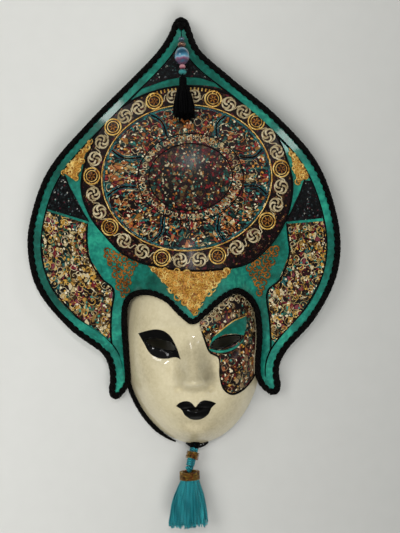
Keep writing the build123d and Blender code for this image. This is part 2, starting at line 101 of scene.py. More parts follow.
# How far a pressed shell differs from its mould, on an even grid
def pressedDepth(node, mould, spacing=2.5, slack=2.5, rounds=8):
    low, high = (np.array(corner) * 1000 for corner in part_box(node))
    xs = np.arange(low[0], high[0] + spacing, spacing)
    zs = np.arange(low[2], high[2] + spacing, spacing)
    grid = np.zeros((len(xs), len(zs)))
    known = np.zeros(grid.shape, bool)
    for i, x in enumerate(xs):
        for j, z in enumerate(zs):
            hit, spot, _, _ = nodes[node].ray_cast(Vector((x / 1000, -1, z / 1000)), Vector((0, 1, 0)))
            gap = -spot.y * 1000 - float(mould(np.array(x), np.array(z)))
            known[i, j] = hit and abs(gap) < slack
            grid[i, j] = gap if known[i, j] else 0
    for _ in range(rounds):  # the edges take the value of what is beside them
        total = sum(np.roll(grid * known, move, axis) for move in (1, -1) for axis in (0, 1))
        count = sum(np.roll(known, move, axis).astype(int) for move in (1, -1) for axis in (0, 1))
        fill = ~known & (count > 0)
        grid[fill] = total[fill] / count[fill]
        known = known | fill
    return {"grid": grid, "low": low, "spacing": spacing}


def readGrid(fit, x, z):
    grid = fit["grid"]
    u = np.clip((x - fit["low"][0]) / fit["spacing"], 0, grid.shape[0] - 1.001)
    v = np.clip((z - fit["low"][2]) / fit["spacing"], 0, grid.shape[1] - 1.001)
    i, j = u.astype(int), v.astype(int)
    u, v = u - i, v - j
    near = grid[i, j] * (1 - u) + grid[i + 1, j] * u
    far = grid[i, j + 1] * (1 - u) + grid[i + 1, j + 1] * u
    return near * (1 - v) + far * v


crownFit = pressedDepth("headpiece_shell", crownMould)
faceFit = pressedDepth("face_shell", faceMould)
print("shells measured:", *(round(float(np.abs(fit["grid"]).max()), 2) for fit in (crownFit, faceFit)), "mm")


def crownDepth(x, z):
    x, z = np.asarray(x, float), np.asarray(z, float)
    return crownMould(x, z) + readGrid(crownFit, x, z)


def faceDepth(x, z):
    x, z = np.asarray(x, float), np.asarray(z, float)
    return faceMould(x, z) + readGrid(faceFit, x, z)


def onCrown(points):  # percent of the crown's half width and height
    return [(u * crown["halfWidth"] / 100, -v * crown["height"] / 100) for u, v in points]


def onFace(points):  # percent of the face's half width and jaw height
    return [(u * face["halfWidth"] / 100, face["centreZ"] + v * face["jaw"] / 100) for u, v in points]


def onMedallion(points):
    middle = medallion["z"]
    return [(u * medallion["halfWidth"] / 100, middle + v * medallion["halfHeight"] / 100) for u, v in points]


# Lines that braids and painted lines follow
lobeTurnRight = onCrown([(53.6, 98.6), (52.0, 99.9), (49.0, 99.9)])
lobeTurnLeft = onCrown([(-53.9, 98.2), (-52.6, 99.5), (-50.0, 99.3)])
rimTop = [(-4.4, -7.5), (0, -4.2), (4.4, -7.5)]
rimRight = onCrown([
    (4.3, 4.1), (9.3, 9.5), (28.0, 17.5), (58.5, 28.9), (81.5, 40.2), (92.0, 51.2), (95.5, 61.1),
    (92.0, 69.8), (77.0, 80.6), (59.0, 88.4), (53.4, 92.6), (52.8, 96.0),
])
rimLeft = onCrown([
    (-5.6, 4.6), (-13.3, 9.5), (-31.4, 17.2), (-61.2, 28.7), (-87.4, 40.1), (-99.4, 51.2),
    (-102.7, 59.3), (-97.9, 69.7), (-77.6, 80.7), (-56.3, 88.2), (-53.0, 92.4), (-53.0, 95.8),
])
browPoint = onFace([(0.7, 25.1)])
browRight = onFace([
    (100, -44.9), (94.4, -38.6), (91.0, -30.9), (91.1, -19.3), (95.1, 3.9), (95.0, 21.3),
    (91.0, 35.8), (79.2, 47.3), (64.4, 52.9), (48.6, 49.3), (35.0, 43.0), (16.9, 32.4),
])
browLeft = onFace([
    (-103.2, -42.0), (-97.2, -33.8), (-96.3, -21.3), (-96.9, -2.9), (-98.0, 19.3),
    (-97.2, 35.7), (-92.4, 46.9), (-80.6, 53.1), (-57.6, 54.4), (-33.0, 46.9), (-21.8, 38.6), (-13.8, 32.7),
])
rimPoints = lobeTurnRight[::-1] + rimRight[::-1] + rimTop[::-1] + rimLeft + lobeTurnLeft
browPoints = lobeTurnLeft[::-1][:1] + browLeft + browPoint + browRight[::-1] + lobeTurnRight[::-1][:1]
medallionPoints = onMedallion([
    (0, 100), (70.7, 70.7), (100, 0), (99.2, -27.6), (90.7, -54.4), (77.5, -75.5), (57.6, -93.2),
    (38.0, -98.8), (0, -100), (-38.3, -92.2), (-62.1, -80.4), (-80.5, -57.9), (-94.2, -35.6),
    (-101, 0), (-70.7, 70.7),
])
eyeRight = onFace([
    (24.8, -2.8), (28.5, 5.0), (45.0, 9.1), (66.0, 8.9), (67.6, 6.6), (57.6, 1.2), (41.1, -2.5),
])
eyeLeft = [(-x, z) for x, z in eyeRight]


def smoothRun(points, spacing, closed=False):  # an even line through the points, spacing in mm
    spots = np.array(points, float)
    if closed:
        spots = np.vstack([spots[-1:], spots, spots[:2]])
    else:
        spots = np.vstack([2 * spots[0] - spots[1], spots, 2 * spots[-1] - spots[-2]])
    line = []
    for i in range(1, len(spots) - 2):
        a, b, c, d = spots[i - 1 : i + 3]
        gapIn, gap, gapOut = (max(1e-6, np.linalg.norm(q - p)) ** 0.5 for p, q in ((a, b), (b, c), (c, d)))
        leave = (c - b) + gap * ((b - a) / gapIn - (c - a) / (gapIn + gap))
        reach = (c - b) + gap * ((d - c) / gapOut - (d - b) / (gap + gapOut))
        for t in np.linspace(0, 1, 24, endpoint=False):
            rise = t * t * (3 - 2 * t)
            line.append(b * (1 - rise) + c * rise + leave * t * (1 - t) ** 2 - reach * t * t * (1 - t))
    line.append(spots[-2])
    line = np.array(line)
    steps = np.r_[0, np.cumsum(np.linalg.norm(np.diff(line, axis=0), axis=1))]
    wanted = np.linspace(0, steps[-1], max(3, round(steps[-1] / spacing) + 1))
    return np.column_stack([np.interp(wanted, steps, line[:, k]) for k in range(line.shape[1])])


def smoothRing(points, spacing):
    return smoothRun(points, spacing, True)[:-1]


def offsetRun(run, amount):  # to the left of the way the line runs, seen from the front
    along = np.gradient(run, axis=0)
    along /= np.linalg.norm(along, axis=1)[:, None]
    return run + amount * np.column_stack([-along[:, 1], along[:, 0]])


def onSurface(run, depthAt, rise):  # flat line in mm to a line on the surface in metres
    run = np.asarray(run, float)
    return np.column_stack([run[:, 0], -(depthAt(run[:, 0], run[:, 1]) + rise), run[:, 1]]) / 1000


def flatRun(points):  # x and z in mm to a line in metres
    return np.array([(x, 0, z) for x, z in points]) / 1000


# Object handling
def take(*pieces):
    bpy.ops.object.select_all(action="DESELECT")
    for piece in pieces:
        piece.select_set(True)
    bpy.context.view_layer.objects.active = pieces[0]


def newPiece(name, data):
    piece = bpy.data.objects.new(name, data)
    bpy.context.collection.objects.link(piece)
    return piece


def applyModifiers(piece):
    take(piece)
    for modifier in list(piece.modifiers):
        bpy.ops.object.modifier_apply(modifier=modifier.name)


def settle(piece):  # the place goes into the mesh, the object to the origin
    take(piece)
    bpy.ops.object.transform_apply(location=True, rotation=True, scale=True)
    return piece


def added(operator, **settings):  # a primitive, settled
    bpy.ops.object.select_all(action="DESELECT")
    operator(**settings)
    return settle(bpy.context.active_object)


def smooth(piece, angle=40):
    take(piece)
    bpy.ops.object.shade_smooth_by_angle(angle=math.radians(angle))
    return piece


def editMesh(piece, operator, **settings):  # one operator on all of a mesh
    take(piece)
    bpy.ops.object.mode_set(mode="EDIT")
    bpy.ops.mesh.select_all(action="SELECT")
    operator(**settings)
    bpy.ops.object.mode_set(mode="OBJECT")
    return piece


def faceOutwards(piece):
    return editMesh(piece, bpy.ops.mesh.normals_make_consistent, inside=False)


def joined(name, pieces):
    take(*pieces)
    bpy.ops.object.join()
    piece = bpy.context.active_object
    piece.name = name
    piece.data.name = name
    return piece


def reshape(piece, form):  # every spot of the mesh goes through a function, in metres
    spots = np.empty(len(piece.data.vertices) * 3)
    piece.data.vertices.foreach_get("co", spots)
    piece.data.vertices.foreach_set("co", form(spots.reshape(-1, 3)).ravel())
    piece.data.update()
    return piece


def drape(piece, depthAt, rise=0.0):  # lays a flat piece on a moulded surface
    def laid(spots):
        spots[:, 1] -= (depthAt(spots[:, 0] * 1000, spots[:, 2] * 1000) + rise) / 1000
        return spots

    return reshape(piece, laid)


def curvePiece(name, runs, thickness, widths=None, closed=False, sides=1, steps=1):
    data = bpy.data.curves.new(name, "CURVE")
    data.dimensions = "3D"
    data.bevel_depth = thickness / 2000
    data.bevel_resolution = sides
    data.resolution_u = steps
    data.use_fill_caps = True
    for run in runs:
        spline = data.splines.new("NURBS")
        spline.points.add(len(run) - 1)
        spline.points.foreach_set("co", np.column_stack([run, np.ones(len(run))]).ravel())
        if widths is not None:
            spline.points.foreach_set("radius", np.interp(np.linspace(0, 1, len(run)), *widths))
        spline.order_u = 3
        spline.use_endpoint_u = not closed
        spline.use_cyclic_u = closed
    return newPiece(name, data)


def toMesh(piece):
    take(piece)
    bpy.ops.object.convert(target="MESH")
    return bpy.context.active_object


def strandPiece(name, runs, thickness, **form):  # threads, cords and raised lines, as a mesh
    piece = toMesh(curvePiece(name, runs, thickness, **form))
    piece.data.name = name
    return smooth(piece, 60)


def outlinePrism(name, points, front, back, corners=()):
    data = bpy.data.curves.new(name, "CURVE")
    data.dimensions = "2D"
    data.fill_mode = "BOTH"
    data.extrude = (front + back) / 2000
    data.resolution_u = 10
    spline = data.splines.new("BEZIER")
    spline.bezier_points.add(len(points) - 1)
    for index, (x, z) in enumerate(points):
        spot = spline.bezier_points[index]
        spot.co = (x / 1000, z / 1000, 0)
        spot.handle_left_type = spot.handle_right_type = "VECTOR" if index in corners else "AUTO"
    spline.use_cyclic_u = True
    piece = newPiece(name, data)
    piece.rotation_euler = (math.pi / 2, 0, 0)
    piece.location = (0, (back - front) / 2000, 0)
    settle(toMesh(piece))
    piece.modifiers.new("weld", "WELD").merge_threshold = 1e-6
    applyModifiers(piece)
    return faceOutwards(piece)


def cut(piece, cutter, operation="DIFFERENCE"):  # the cutter is used up
    boolean = piece.modifiers.new("cut", "BOOLEAN")
    boolean.operation = operation
    boolean.solver = "EXACT"
    boolean.object = cutter
    applyModifiers(piece)
    bpy.data.objects.remove(cutter)
    return piece


# A thin layer with an outline, cut from a fine grid and laid on a mould
def patch(name, points, thickness, depthAt, rise, holes=(), rounding=0.12, corners=(), spacing=0.9):
    edge, reach = 6, 20
    low = np.min(points, axis=0) - edge
    high = np.max(points, axis=0) + edge
    size = high - low
    columns, rows = (int(side / spacing) for side in size)
    piece = added(bpy.ops.mesh.primitive_grid_add, x_subdivisions=columns, y_subdivisions=rows, size=0.001)
    piece.name = name
    piece.data.name = name
    piece.scale = (size[0], size[1], 1)
    piece.rotation_euler = (math.pi / 2, 0, 0)
    piece.location = ((low[0] + high[0]) / 2000, 0, (low[1] + high[1]) / 2000)
    settle(piece)
    forwards = {"value": (0, -thickness / 1000, 0)}
    editMesh(piece, bpy.ops.mesh.extrude_region_move, TRANSFORM_OT_translate=forwards)
    faceOutwards(piece)
    cut(piece, outlinePrism(name + "Cutter", points, reach, reach, corners), "INTERSECT")
    for hole in holes:
        cut(piece, outlinePrism(name + "Hole", hole, reach, reach))
    bevel = piece.modifiers.new("edge", "BEVEL")
    bevel.width = rounding / 1000
    bevel.segments = 2
    bevel.limit_method = "ANGLE"
    bevel.angle_limit = math.radians(60)
    applyModifiers(piece)
    return smooth(drape(piece, depthAt, rise), 50)


def copyOf(model, transform):
    copy = newPiece(model.name, model.data.copy())
    copy.data.transform(transform)
    return copy


def spread(name, model, places):  # copies of one model, each x, z, turn, size and hand, as one piece
    copies = []
    for x, z, turn, size, hand in places:
        place = Matrix.Translation((x / 1000, 0, z / 1000)) @ Matrix.Rotation(math.radians(turn), 4, "Y")
        copies.append(copyOf(model, place @ Matrix.Diagonal((size * hand, size, size, 1))))
        if hand < 0:
            copies[-1].data.flip_normals()
    bpy.data.objects.remove(model)
    return joined(name, copies)


def covers(node, x, z, margin):  # whether a CAD layer lies behind a spot, with a margin round it
    for dx, dz in ((0, 0), (margin, 0), (-margin, 0), (0, margin), (0, -margin)):
        if not node.ray_cast(Vector(((x + dx) / 1000, -1, (z + dz) / 1000)), Vector((0, 1, 0)))[0]:
            return False
    return True


def scatter(node, gap, margin, seed, tries=4000):  # even random spots on a CAD layer
    dice = random.Random(seed)
    low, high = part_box(node)
    spots = []
    for _ in range(tries):
        x = dice.uniform(low.x, high.x) * 1000
        z = dice.uniform(low.z, high.z) * 1000
        if all((x - p) ** 2 + (z - q) ** 2 > gap**2 for p, q in spots) and covers(nodes[node], x, z, margin):
            spots.append((x, z))
    return spots


# Materials
def linear(code):
    parts = [int(code[i : i + 2], 16) / 255 for i in (1, 3, 5)]
    return [p / 12.92 if p <= 0.04045 else ((p + 0.055) / 1.055) ** 2.4 for p in parts] + [1]


def socketOf(sockets, key):
    return next(s for s in sockets if key in (s.name, s.identifier) and s.enabled)


def addNode(material, kind, settings=None, links=None):
    node = material.node_tree.nodes.new("ShaderNode" + kind)
    for key, value in (settings or {}).items():
        if key == "ramp":
            elements = node.color_ramp.elements
            while len(elements) < len(value):
                elements.new(0.5)
            for element, (place, code) in zip(elements, value):
                element.position = place
                element.color = linear(code)
        elif key == "rampKind":
            node.color_ramp.interpolation = value
        elif isinstance(key, str) and hasattr(node, key):
            setattr(node, key, value)
        else:
            socket = node.inputs[key] if isinstance(key, int) else socketOf(node.inputs, key)
            socket.default_value = linear(value) if isinstance(value, str) else value
    for key, source in (links or {}).items():
        other, output = source if isinstance(source, tuple) else (source, None)
        start = socketOf(other.outputs, output) if output else next(s for s in other.outputs if s.enabled)
        end = node.inputs[key] if isinstance(key, int) else socketOf(node.inputs, key)
        material.node_tree.links.new(start, end)
    return node


def newMaterial(name):
    material = bpy.data.materials.new(name)
    material.use_nodes = True
    material.node_tree.nodes.clear()
    return material, partial(addNode, material)  # the second adds nodes to the first


def closeMaterial(material, shader):
    addNode(material, "OutputMaterial", {}, {"Surface": shader})
    return material


def blend(add, first, second, share, ramp):  # two patterns mixed, then read off a ramp of colours
    mixed = add("Mix", {"data_type": "FLOAT", "Factor": share}, {"A": (first, "Fac"), "B": (second, "Fac")})
    return add("ValToRGB", {"ramp": ramp}, {"Fac": mixed})


def lacquer(name, settings):  # brushed paint under clear lacquer: soft brush streaks, wide clean gloss
    material, add = newMaterial(name)
    spots = (add("TexCoord"), "Object")
    drift = add("TexNoise", {"Scale": 1000 / settings["drift"], "Detail": 4.0, "Roughness": 0.6},
                {"Vector": spots})
    brush = add("TexNoise", {"Scale": 1000 / settings["brush"], "Detail": 6.0, "Distortion": 0.6},
                {"Vector": spots})
    paint = blend(add, drift, brush, 0.35, settings["ramp"])
    bump = add("Bump", {"Strength": settings["bump"], "Distance": 0.0004}, {"Height": (brush, "Fac")})
    gloss = add("MapRange", {"To Min": settings["gloss"][0], "To Max": settings["gloss"][1]},
                {"Value": (drift, "Fac")})
    coat = {"Coat Weight": settings["coat"], "Coat Roughness": 0.08, "IOR": 1.5,
            "Specular IOR Level": settings["shine"]}
    shader = add("BsdfPrincipled", coat, {"Base Color": paint, "Roughness": gloss, "Normal": bump})
    return closeMaterial(material, shader)


# Acrylic lacquer on papier mache, brushed along the form: sea green, darker where the coats pooled, with pale
# aqua streaks of painted highlight
tealLacquer = lacquer("acrylicLacquerTeal", {
    "drift": 60, "brush": 5, "bump": 0.25, "gloss": (0.3, 0.5), "coat": 0.6, "shine": 0.35,
    # Painted highlight: the pale aqua stop at the top of the ramp
    "ramp": [(0.28, "#04342C"), (0.43, "#0A5446"), (0.54, "#127262"), (0.66, "#2A9E80"), (0.78, "#54C8A6")],
})
# Rubbed ivory lacquer on gesso: warm, glossy, with faint clouds
ivoryLacquer = lacquer("rubbedLacquerIvory", {
    "drift": 45, "brush": 3, "bump": 0.12, "gloss": (0.35, 0.45), "coat": 0.7, "shine": 0.4,
    "ramp": [(0.25, "#A4987A"), (0.5, "#C3B896"), (0.75, "#D4CAAA")],
})
# Black gloss enamel, poured: it hides the ground and mirrors the lamps
blackEnamel = lacquer("glossEnamelBlack", {
    "drift": 30, "brush": 3, "bump": 0.1, "gloss": (0.4, 0.5), "coat": 0.5, "shine": 0.1,
    "ramp": [(0.3, "#020202"), (0.7, "#080706")],
})
# Ink line, drawn with a brush: black, half matt
blackInk = lacquer("shellacInkBlack", {
    "drift": 30, "brush": 2, "bump": 0.1, "gloss": (0.5, 0.6), "coat": 0.0, "shine": 0.15,
    "ramp": [(0.3, "#020202"), (0.7, "#090807")],
})
# Thin sea-green wash along the papers, dotted by a dry brush
tealWash = lacquer("acrylicWashPetrol", {
    "drift": 12, "brush": 1.5, "bump": 0.3, "gloss": (0.35, 0.5), "coat": 0.2, "shine": 0.3,
    "ramp": [(0.4, "#06181C"), (0.5, "#0E3E46"), (0.6, "#1C6460"), (0.7, "#7FA894")],
})


def paste(name, settings):  # raised relief paste, leafed or painted: small lumps and rubbed high spots
    material, add = newMaterial(name)
    spots = (add("TexCoord"), "Object")
    lumps = add("TexNoise", {"Scale": 1000 / settings["grain"], "Detail": 5.0}, {"Vector": spots})
    patches = add("TexNoise", {"Scale": 1000 / settings["patch"], "Detail": 2.0}, {"Vector": spots})
    paint = blend(add, lumps, patches, 0.5, settings["ramp"])
    bump = add("Bump", {"Strength": 0.5, "Distance": 0.0003}, {"Height": (lumps, "Fac")})
    shader = add("BsdfPrincipled", {"Metallic": settings["metal"], "Roughness": settings["rough"]},
                 {"Base Color": paint, "Normal": bump})
    return closeMaterial(material, shader)


# Relief paste with brass leaf: yellow, half bright, brown in the hollows
goldPaste = paste("brassLeafPaste", {
    "grain": 0.9, "patch": 7, "metal": 0.4, "rough": 0.36,
    "ramp": [(0.36, "#7A4C14"), (0.46, "#CE983A"), (0.6, "#FCE08C")],
})
# The ground under it: a darker copy of the same paste, brown gold of its own with painted shade between the
# raised curls
wornPaste = paste("brassLeafPasteWorn", {
    "grain": 1.0, "patch": 6, "metal": 0.3, "rough": 0.45,
    # Painted shade: this ramp is darker than the curls' own, for the ground between them
    "ramp": [(0.36, "#44260A"), (0.47, "#9A6420"), (0.62, "#DAA244")],
})
# The same paste with copper bronzing powder: browner and duller
copperPaste = paste("bronzedReliefPaste", {
    "grain": 1.1, "patch": 9, "metal": 0.3, "rough": 0.5,
    "ramp": [(0.36, "#3A1E0A"), (0.48, "#84501C"), (0.64, "#BE7E30")],
})
# Relief paste painted cream, edges rubbed
creamPaste = paste("paintedReliefPasteCream", {
    "grain": 0.8, "patch": 6, "metal": 0.0, "rough": 0.4,
    "ramp": [(0.34, "#6A5838"), (0.48, "#A2916C"), (0.64, "#D2C6A4")],
})


# Printed scraps with dark edges, smaller bright scraps, line curls and specks
def collage(add, spots, settings):
    warpNoise = add("TexNoise", {"Scale": 1000 / 9, "Detail": 3.0}, {"Vector": spots})
    warp = add("VectorMath", {"operation": "SCALE", "Scale": 0.006}, {"Vector": (warpNoise, "Color")})
    bent = add("VectorMath", {"operation": "ADD"}, {0: spots, 1: warp})
    tall = add("VectorMath", {"operation": "MULTIPLY", 1: (1, 1, settings["stretch"])}, {0: bent})
    colour = None
    for layer in ("ground", "bright"):
        size = 1000 / settings[layer + "Size"]
        scraps = add("TexVoronoi", {"Scale": size}, {"Vector": tall})
        tone = add("SeparateColor", {}, {"Color": (scraps, "Color")})
        tint = add("ValToRGB", {"rampKind": "CONSTANT", "ramp": settings[layer]}, {"Fac": (tone, "Red")})
        if colour:
            shown = add("Math", {"operation": "LESS_THAN", 1: settings["share"]}, {0: (tone, "Green")})
            tint = add("Mix", {"data_type": "RGBA"}, {"Factor": shown, "A": colour, "B": tint})
        edges = add("TexVoronoi", {"feature": "DISTANCE_TO_EDGE", "Scale": size}, {"Vector": tall})
        inside = add("MapRange", {"From Min": 0.03, "From Max": 0.1}, {"Value": (edges, "Distance")})
        colour = add("Mix", {"data_type": "RGBA", "A": settings["edge"]}, {"Factor": inside, "B": tint})
    motifs = add("TexVoronoi", {"Scale": 1000 / settings["motif"], "Randomness": 0.85}, {"Vector": bent})
    widen = add("Math", {"operation": "MULTIPLY", 1: settings["rings"]}, {0: (motifs, "Distance")})
    rings = add("Math", {"operation": "SINE"}, {0: widen})
    lines = add("MapRange", {"From Min": settings["line"], "From Max": settings["line"] + 0.12},
                {"Value": rings})
    motifTone = add("SeparateColor", {}, {"Color": (motifs, "Color")})
    ink = add("ValToRGB", {"rampKind": "CONSTANT", "ramp": settings["ink"]}, {"Fac": (motifTone, "Green")})
    drawn = add("Mix", {"data_type": "RGBA"}, {"Factor": lines, "A": colour, "B": ink})
    specks = add("TexVoronoi", {"Scale": 1000 / settings["speck"]}, {"Vector": spots})
    speckTone = add("SeparateColor", {}, {"Color": (specks, "Color")})
    few = add("Math", {"operation": "GREATER_THAN", 1: settings["few"]}, {0: (speckTone, "Blue")})
    speckInk = add("ValToRGB", {"rampKind": "CONSTANT", "ramp": settings["specks"]},
                   {"Fac": (speckTone, "Red")})
    dotted = add("Mix", {"data_type": "RGBA"}, {"Factor": few, "A": drawn, "B": speckInk})
    return dotted, lines


# Varnished paper; a fan turns it round a middle, between a centre and a border
def paper(name, settings, fan=None):
    material, add = newMaterial(name)
    spots = (add("TexCoord"), "Object")
    if fan:
        middle = add("VectorMath", {"operation": "SUBTRACT", 1: fan["middle"]}, {0: spots})
        scaled = add("VectorMath", {"operation": "DIVIDE", 1: fan["size"]}, {0: middle})
        radius = add("VectorMath", {"operation": "LENGTH"}, {0: scaled})
        parts = add("SeparateXYZ", {}, {"Vector": scaled})
        angle = add("Math", {"operation": "ARCTAN2"}, {0: (parts, "X"), 1: (parts, "Z")})
        along = add("Math", {"operation": "MULTIPLY", 1: fan["around"]}, {0: angle})
        outward = add("Math", {"operation": "MULTIPLY", 1: fan["outward"]}, {0: (radius, "Value")})
        turned = add("CombineXYZ", {}, {"X": along, "Z": outward})
        colour, height = collage(add, turned, settings)
        zones = (("centre", fan["inner"], "LESS_THAN"), ("border", 1.0, "GREATER_THAN"))
        for pattern, limit, operation in zones:
            plain, _ = collage(add, spots, fan[pattern])
            there = add("Math", {"operation": operation, 1: limit}, {0: (radius, "Value")})
            colour = add("Mix", {"data_type": "RGBA"}, {"Factor": there, "A": colour, "B": plain})
    else:
        colour, height = collage(add, spots, settings)
    bump = add("Bump", {"Strength": 0.5, "Distance": 0.0004}, {"Height": height})
    varnish = {"Roughness": 0.45, "Specular IOR Level": 0.25, "Coat Weight": 0.12, "Coat Roughness": 0.2}
    shader = add("BsdfPrincipled", varnish, {"Base Color": colour, "Normal": bump})
    return closeMaterial(material, shader)


# Decoupage paper, varnished: brown and wine scraps with cream and gold line curls
wingPattern = {
    "stretch": 0.7, "groundSize": 11, "brightSize": 3.9, "share": 0.5, "motif": 8, "rings": 17.0,
    "line": 0.84, "speck": 1.8, "few": 0.87, "edge": "#0B0706",
    "ground": [(0.0, "#180D0A"), (0.24, "#2A0B10"), (0.38, "#33240F"), (0.52, "#0E2420"), (0.66, "#40301A"),
               (0.8, "#200A14"), (0.9, "#4A3010")],
    "bright": [(0.0, "#7A5C2C"), (0.14, "#5E1820"), (0.28, "#A8966A"), (0.4, "#2A4A38"), (0.52, "#96702C"),
               (0.64, "#6A3038"), (0.76, "#B8A884"), (0.88, "#1E5250")],
    "ink": [(0.0, "#B89C60"), (0.25, "#7A5C30"), (0.45, "#D0C09A"), (0.62, "#96702C"), (0.8, "#C8AE72")],
    "specks": [(0.0, "#D2C6A6"), (0.3, "#B88A34"), (0.55, "#267A6C"), (0.7, "#6A161C"), (0.85, "#0C0908")],
}
wingPaper = paper("varnishedDecoupagePaper", wingPattern)
# The same paper, on the face: wine, orange and cream
facePattern = wingPattern | {
    "brightSize": 4.2, "share": 0.5, "line": 0.88,
    "ground": [(0.0, "#120808"), (0.3, "#280A0E"), (0.5, "#2E150C"), (0.7, "#0E1A17"), (0.85, "#1E080C")],
    "bright": [(0.0, "#7C3E1E"), (0.16, "#4C1016"), (0.3, "#7E6A48"), (0.42, "#1C382F"), (0.54, "#84482A"),
               (0.68, "#3E0F13"), (0.82, "#9A8260")],
    "ink": [(0.0, "#8E7040"), (0.25, "#5E421F"), (0.45, "#A8946C"), (0.62, "#70481C"), (0.8, "#9A7C48")],
}
facePaper = paper("varnishedDecoupagePaperWine", facePattern)
# The same paper laid as a fan round the middle, in orange, gold, wine and sea green, inside a wine border
fieldPattern = {
    "stretch": 0.5, "groundSize": 9, "brightSize": 4.0, "share": 0.5, "motif": 7, "rings": 14.0, "line": 0.88,
    "speck": 1.6, "few": 0.85, "edge": "#0A0605",
    "ground": [(0.0, "#120907"), (0.26, "#2C0A10"), (0.4, "#301A0C"), (0.52, "#0A2622"), (0.66, "#180F0B"),
               (0.8, "#3C260E"), (0.9, "#1E080E")],
    "bright": [(0.0, "#84491E"), (0.15, "#54121A"), (0.28, "#8E7A50"), (0.4, "#17423C"), (0.52, "#7C5622"),
               (0.66, "#74181C"), (0.76, "#945830"), (0.86, "#224C42"), (0.94, "#AA9A72")],
    "ink": [(0.0, "#A85A2A"), (0.25, "#B89C68"), (0.45, "#1F6058"), (0.65, "#C0B088"), (0.85, "#7E1E20")],
    "specks": [(0.0, "#CFC3A2"), (0.3, "#B87C30"), (0.5, "#267068"), (0.7, "#7A1620"), (0.85, "#0A0706")],
}
borderPattern = {
    "stretch": 1.0, "groundSize": 5, "brightSize": 3, "share": 0.22, "motif": 4.0, "rings": 9.0, "line": 0.94,
    "speck": 1.5, "few": 0.93, "edge": "#080404",
    "ground": [(0.0, "#100606"), (0.4, "#1E090C"), (0.7, "#160B08"), (0.88, "#240E0E")],
    "bright": [(0.0, "#30100E"), (0.5, "#3A2410"), (0.8, "#501820")],
    "ink": [(0.0, "#3E1C14"), (0.5, "#2C1E12")],
    "specks": [(0.0, "#5A4430"), (0.4, "#7A5828"), (0.7, "#521418")],
}
centrePattern = fieldPattern | {
    "stretch": 0.8, "groundSize": 17, "brightSize": 2.8, "share": 0.42, "motif": 9, "rings": 20.0,
    "line": 0.93, "few": 0.87,
    "ground": [(0.0, "#0C0706"), (0.3, "#420A10"), (0.5, "#0C1E1A"), (0.7, "#1C110A"), (0.85, "#2A080E")],
    "bright": [(0.0, "#443216"), (0.2, "#620C12"), (0.4, "#58492E"), (0.55, "#123830"), (0.7, "#583612"),
               (0.82, "#4A0A10"), (0.92, "#786C4C")],
    "ink": [(0.0, "#5A4424"), (0.4, "#18423A"), (0.7, "#5E1418")],
    "specks": [(0.0, "#A89C7C"), (0.3, "#945E22"), (0.5, "#1E5A52"), (0.7, "#7A1218"), (0.85, "#0A0706")],
}
medallionPaper = paper("varnishedMedallionPaper", fieldPattern, {
    "middle": (0.001, 0, medallion["z"] / 1000), "size": (0.086, 1000.0, 0.0738), "inner": 0.5,
    "around": 0.062, "outward": 0.08,
    "centre": centrePattern, "border": borderPattern})
# Glitter paper, black ground: matt film with small bright flakes
glitterPaper = paper("glitterGroundBlack", {
    "stretch": 1.0, "groundSize": 6, "brightSize": 2.4, "share": 0.25, "motif": 5, "rings": 14.0,
    "line": 0.93, "speck": 1.2, "few": 0.86, "edge": "#040304",
    "ground": [(0.0, "#030303"), (0.5, "#050606"), (0.8, "#080606")],
    "bright": [(0.0, "#0E1012"), (0.4, "#101817"), (0.7, "#1A0C0E")],
    "ink": [(0.0, "#161C1E"), (0.5, "#14242A")],
    "specks": [(0.0, "#101214"), (0.4, "#263032"), (0.62, "#4A5254"), (0.76, "#4A161E"), (0.86, "#1E4C48"),
               (0.95, "#8A8A80")],
})


def waveScale(size):  # for bands this many mm apart
    return 1000 / size / 20 * 3.2


def thread(name, settings):  # spun thread: fine slanting ply lines, soft sheen
    material, add = newMaterial(name)
    spots = (add("TexCoord"), "Object")
    drawn = add("VectorMath", {"operation": "MULTIPLY", 1: (1, 1, settings["streak"])}, {0: spots})
    clouds = add("TexNoise", {"Scale": 1000 / settings["cloud"], "Detail": 4.0}, {"Vector": drawn})
    twist = {"Scale": waveScale(settings["ply"]), "Distortion": 2.0, "Detail": 2.0,
             "bands_direction": "DIAGONAL"}
    ply = add("TexWave", twist, {"Vector": spots})
    paint = blend(add, clouds, ply, 0.35, settings["ramp"])
    bump = add("Bump", {"Strength": 0.4, "Distance": 0.0002}, {"Height": (ply, "Fac")})
    fibre = {"Roughness": settings["rough"], "Sheen Weight": settings["sheen"], "Sheen Roughness": 0.4,
             "Specular IOR Level": settings["specular"]}
    shader = add("BsdfPrincipled", fibre, {"Base Color": paint, "Normal": bump})
    return closeMaterial(material, shader)


# Cotton gimp braid, dyed black: nearly no shine, slightly brown on the high spots
blackBraid = thread("cottonBraidBlack", {
    "cloud": 8, "streak": 1.0, "ply": 0.9, "rough": 0.85, "sheen": 0.0, "specular": 0.15,
    "ramp": [(0.3, "#020202"), (0.7, "#0D0B0A")]})
# Viscose tassel thread, black: soft, hardly any sheen
blackThread = thread("viscoseThreadBlack", {
    "cloud": 2, "streak": 0.1, "ply": 0.7, "rough": 0.75, "sheen": 0.0, "specular": 0.1,
    "ramp": [(0.3, "#010101"), (0.7, "#050506")]})
# Viscose tassel thread, petrol blue: silky, with painted shade darker between the strands
tealThread = thread("viscoseThreadPetrol", {
    "cloud": 2.2, "streak": 0.08, "ply": 0.7, "rough": 0.42, "sheen": 0.1, "specular": 0.4,
    # Painted shade: the dark end of the ramp stands for the gaps between the strands
    "ramp": [(0.36, "#063C46"), (0.48, "#10707C"), (0.6, "#1B8C94"), (0.72, "#3FB4B6")]})
print("materials: lacquers, pastes, papers, threads")


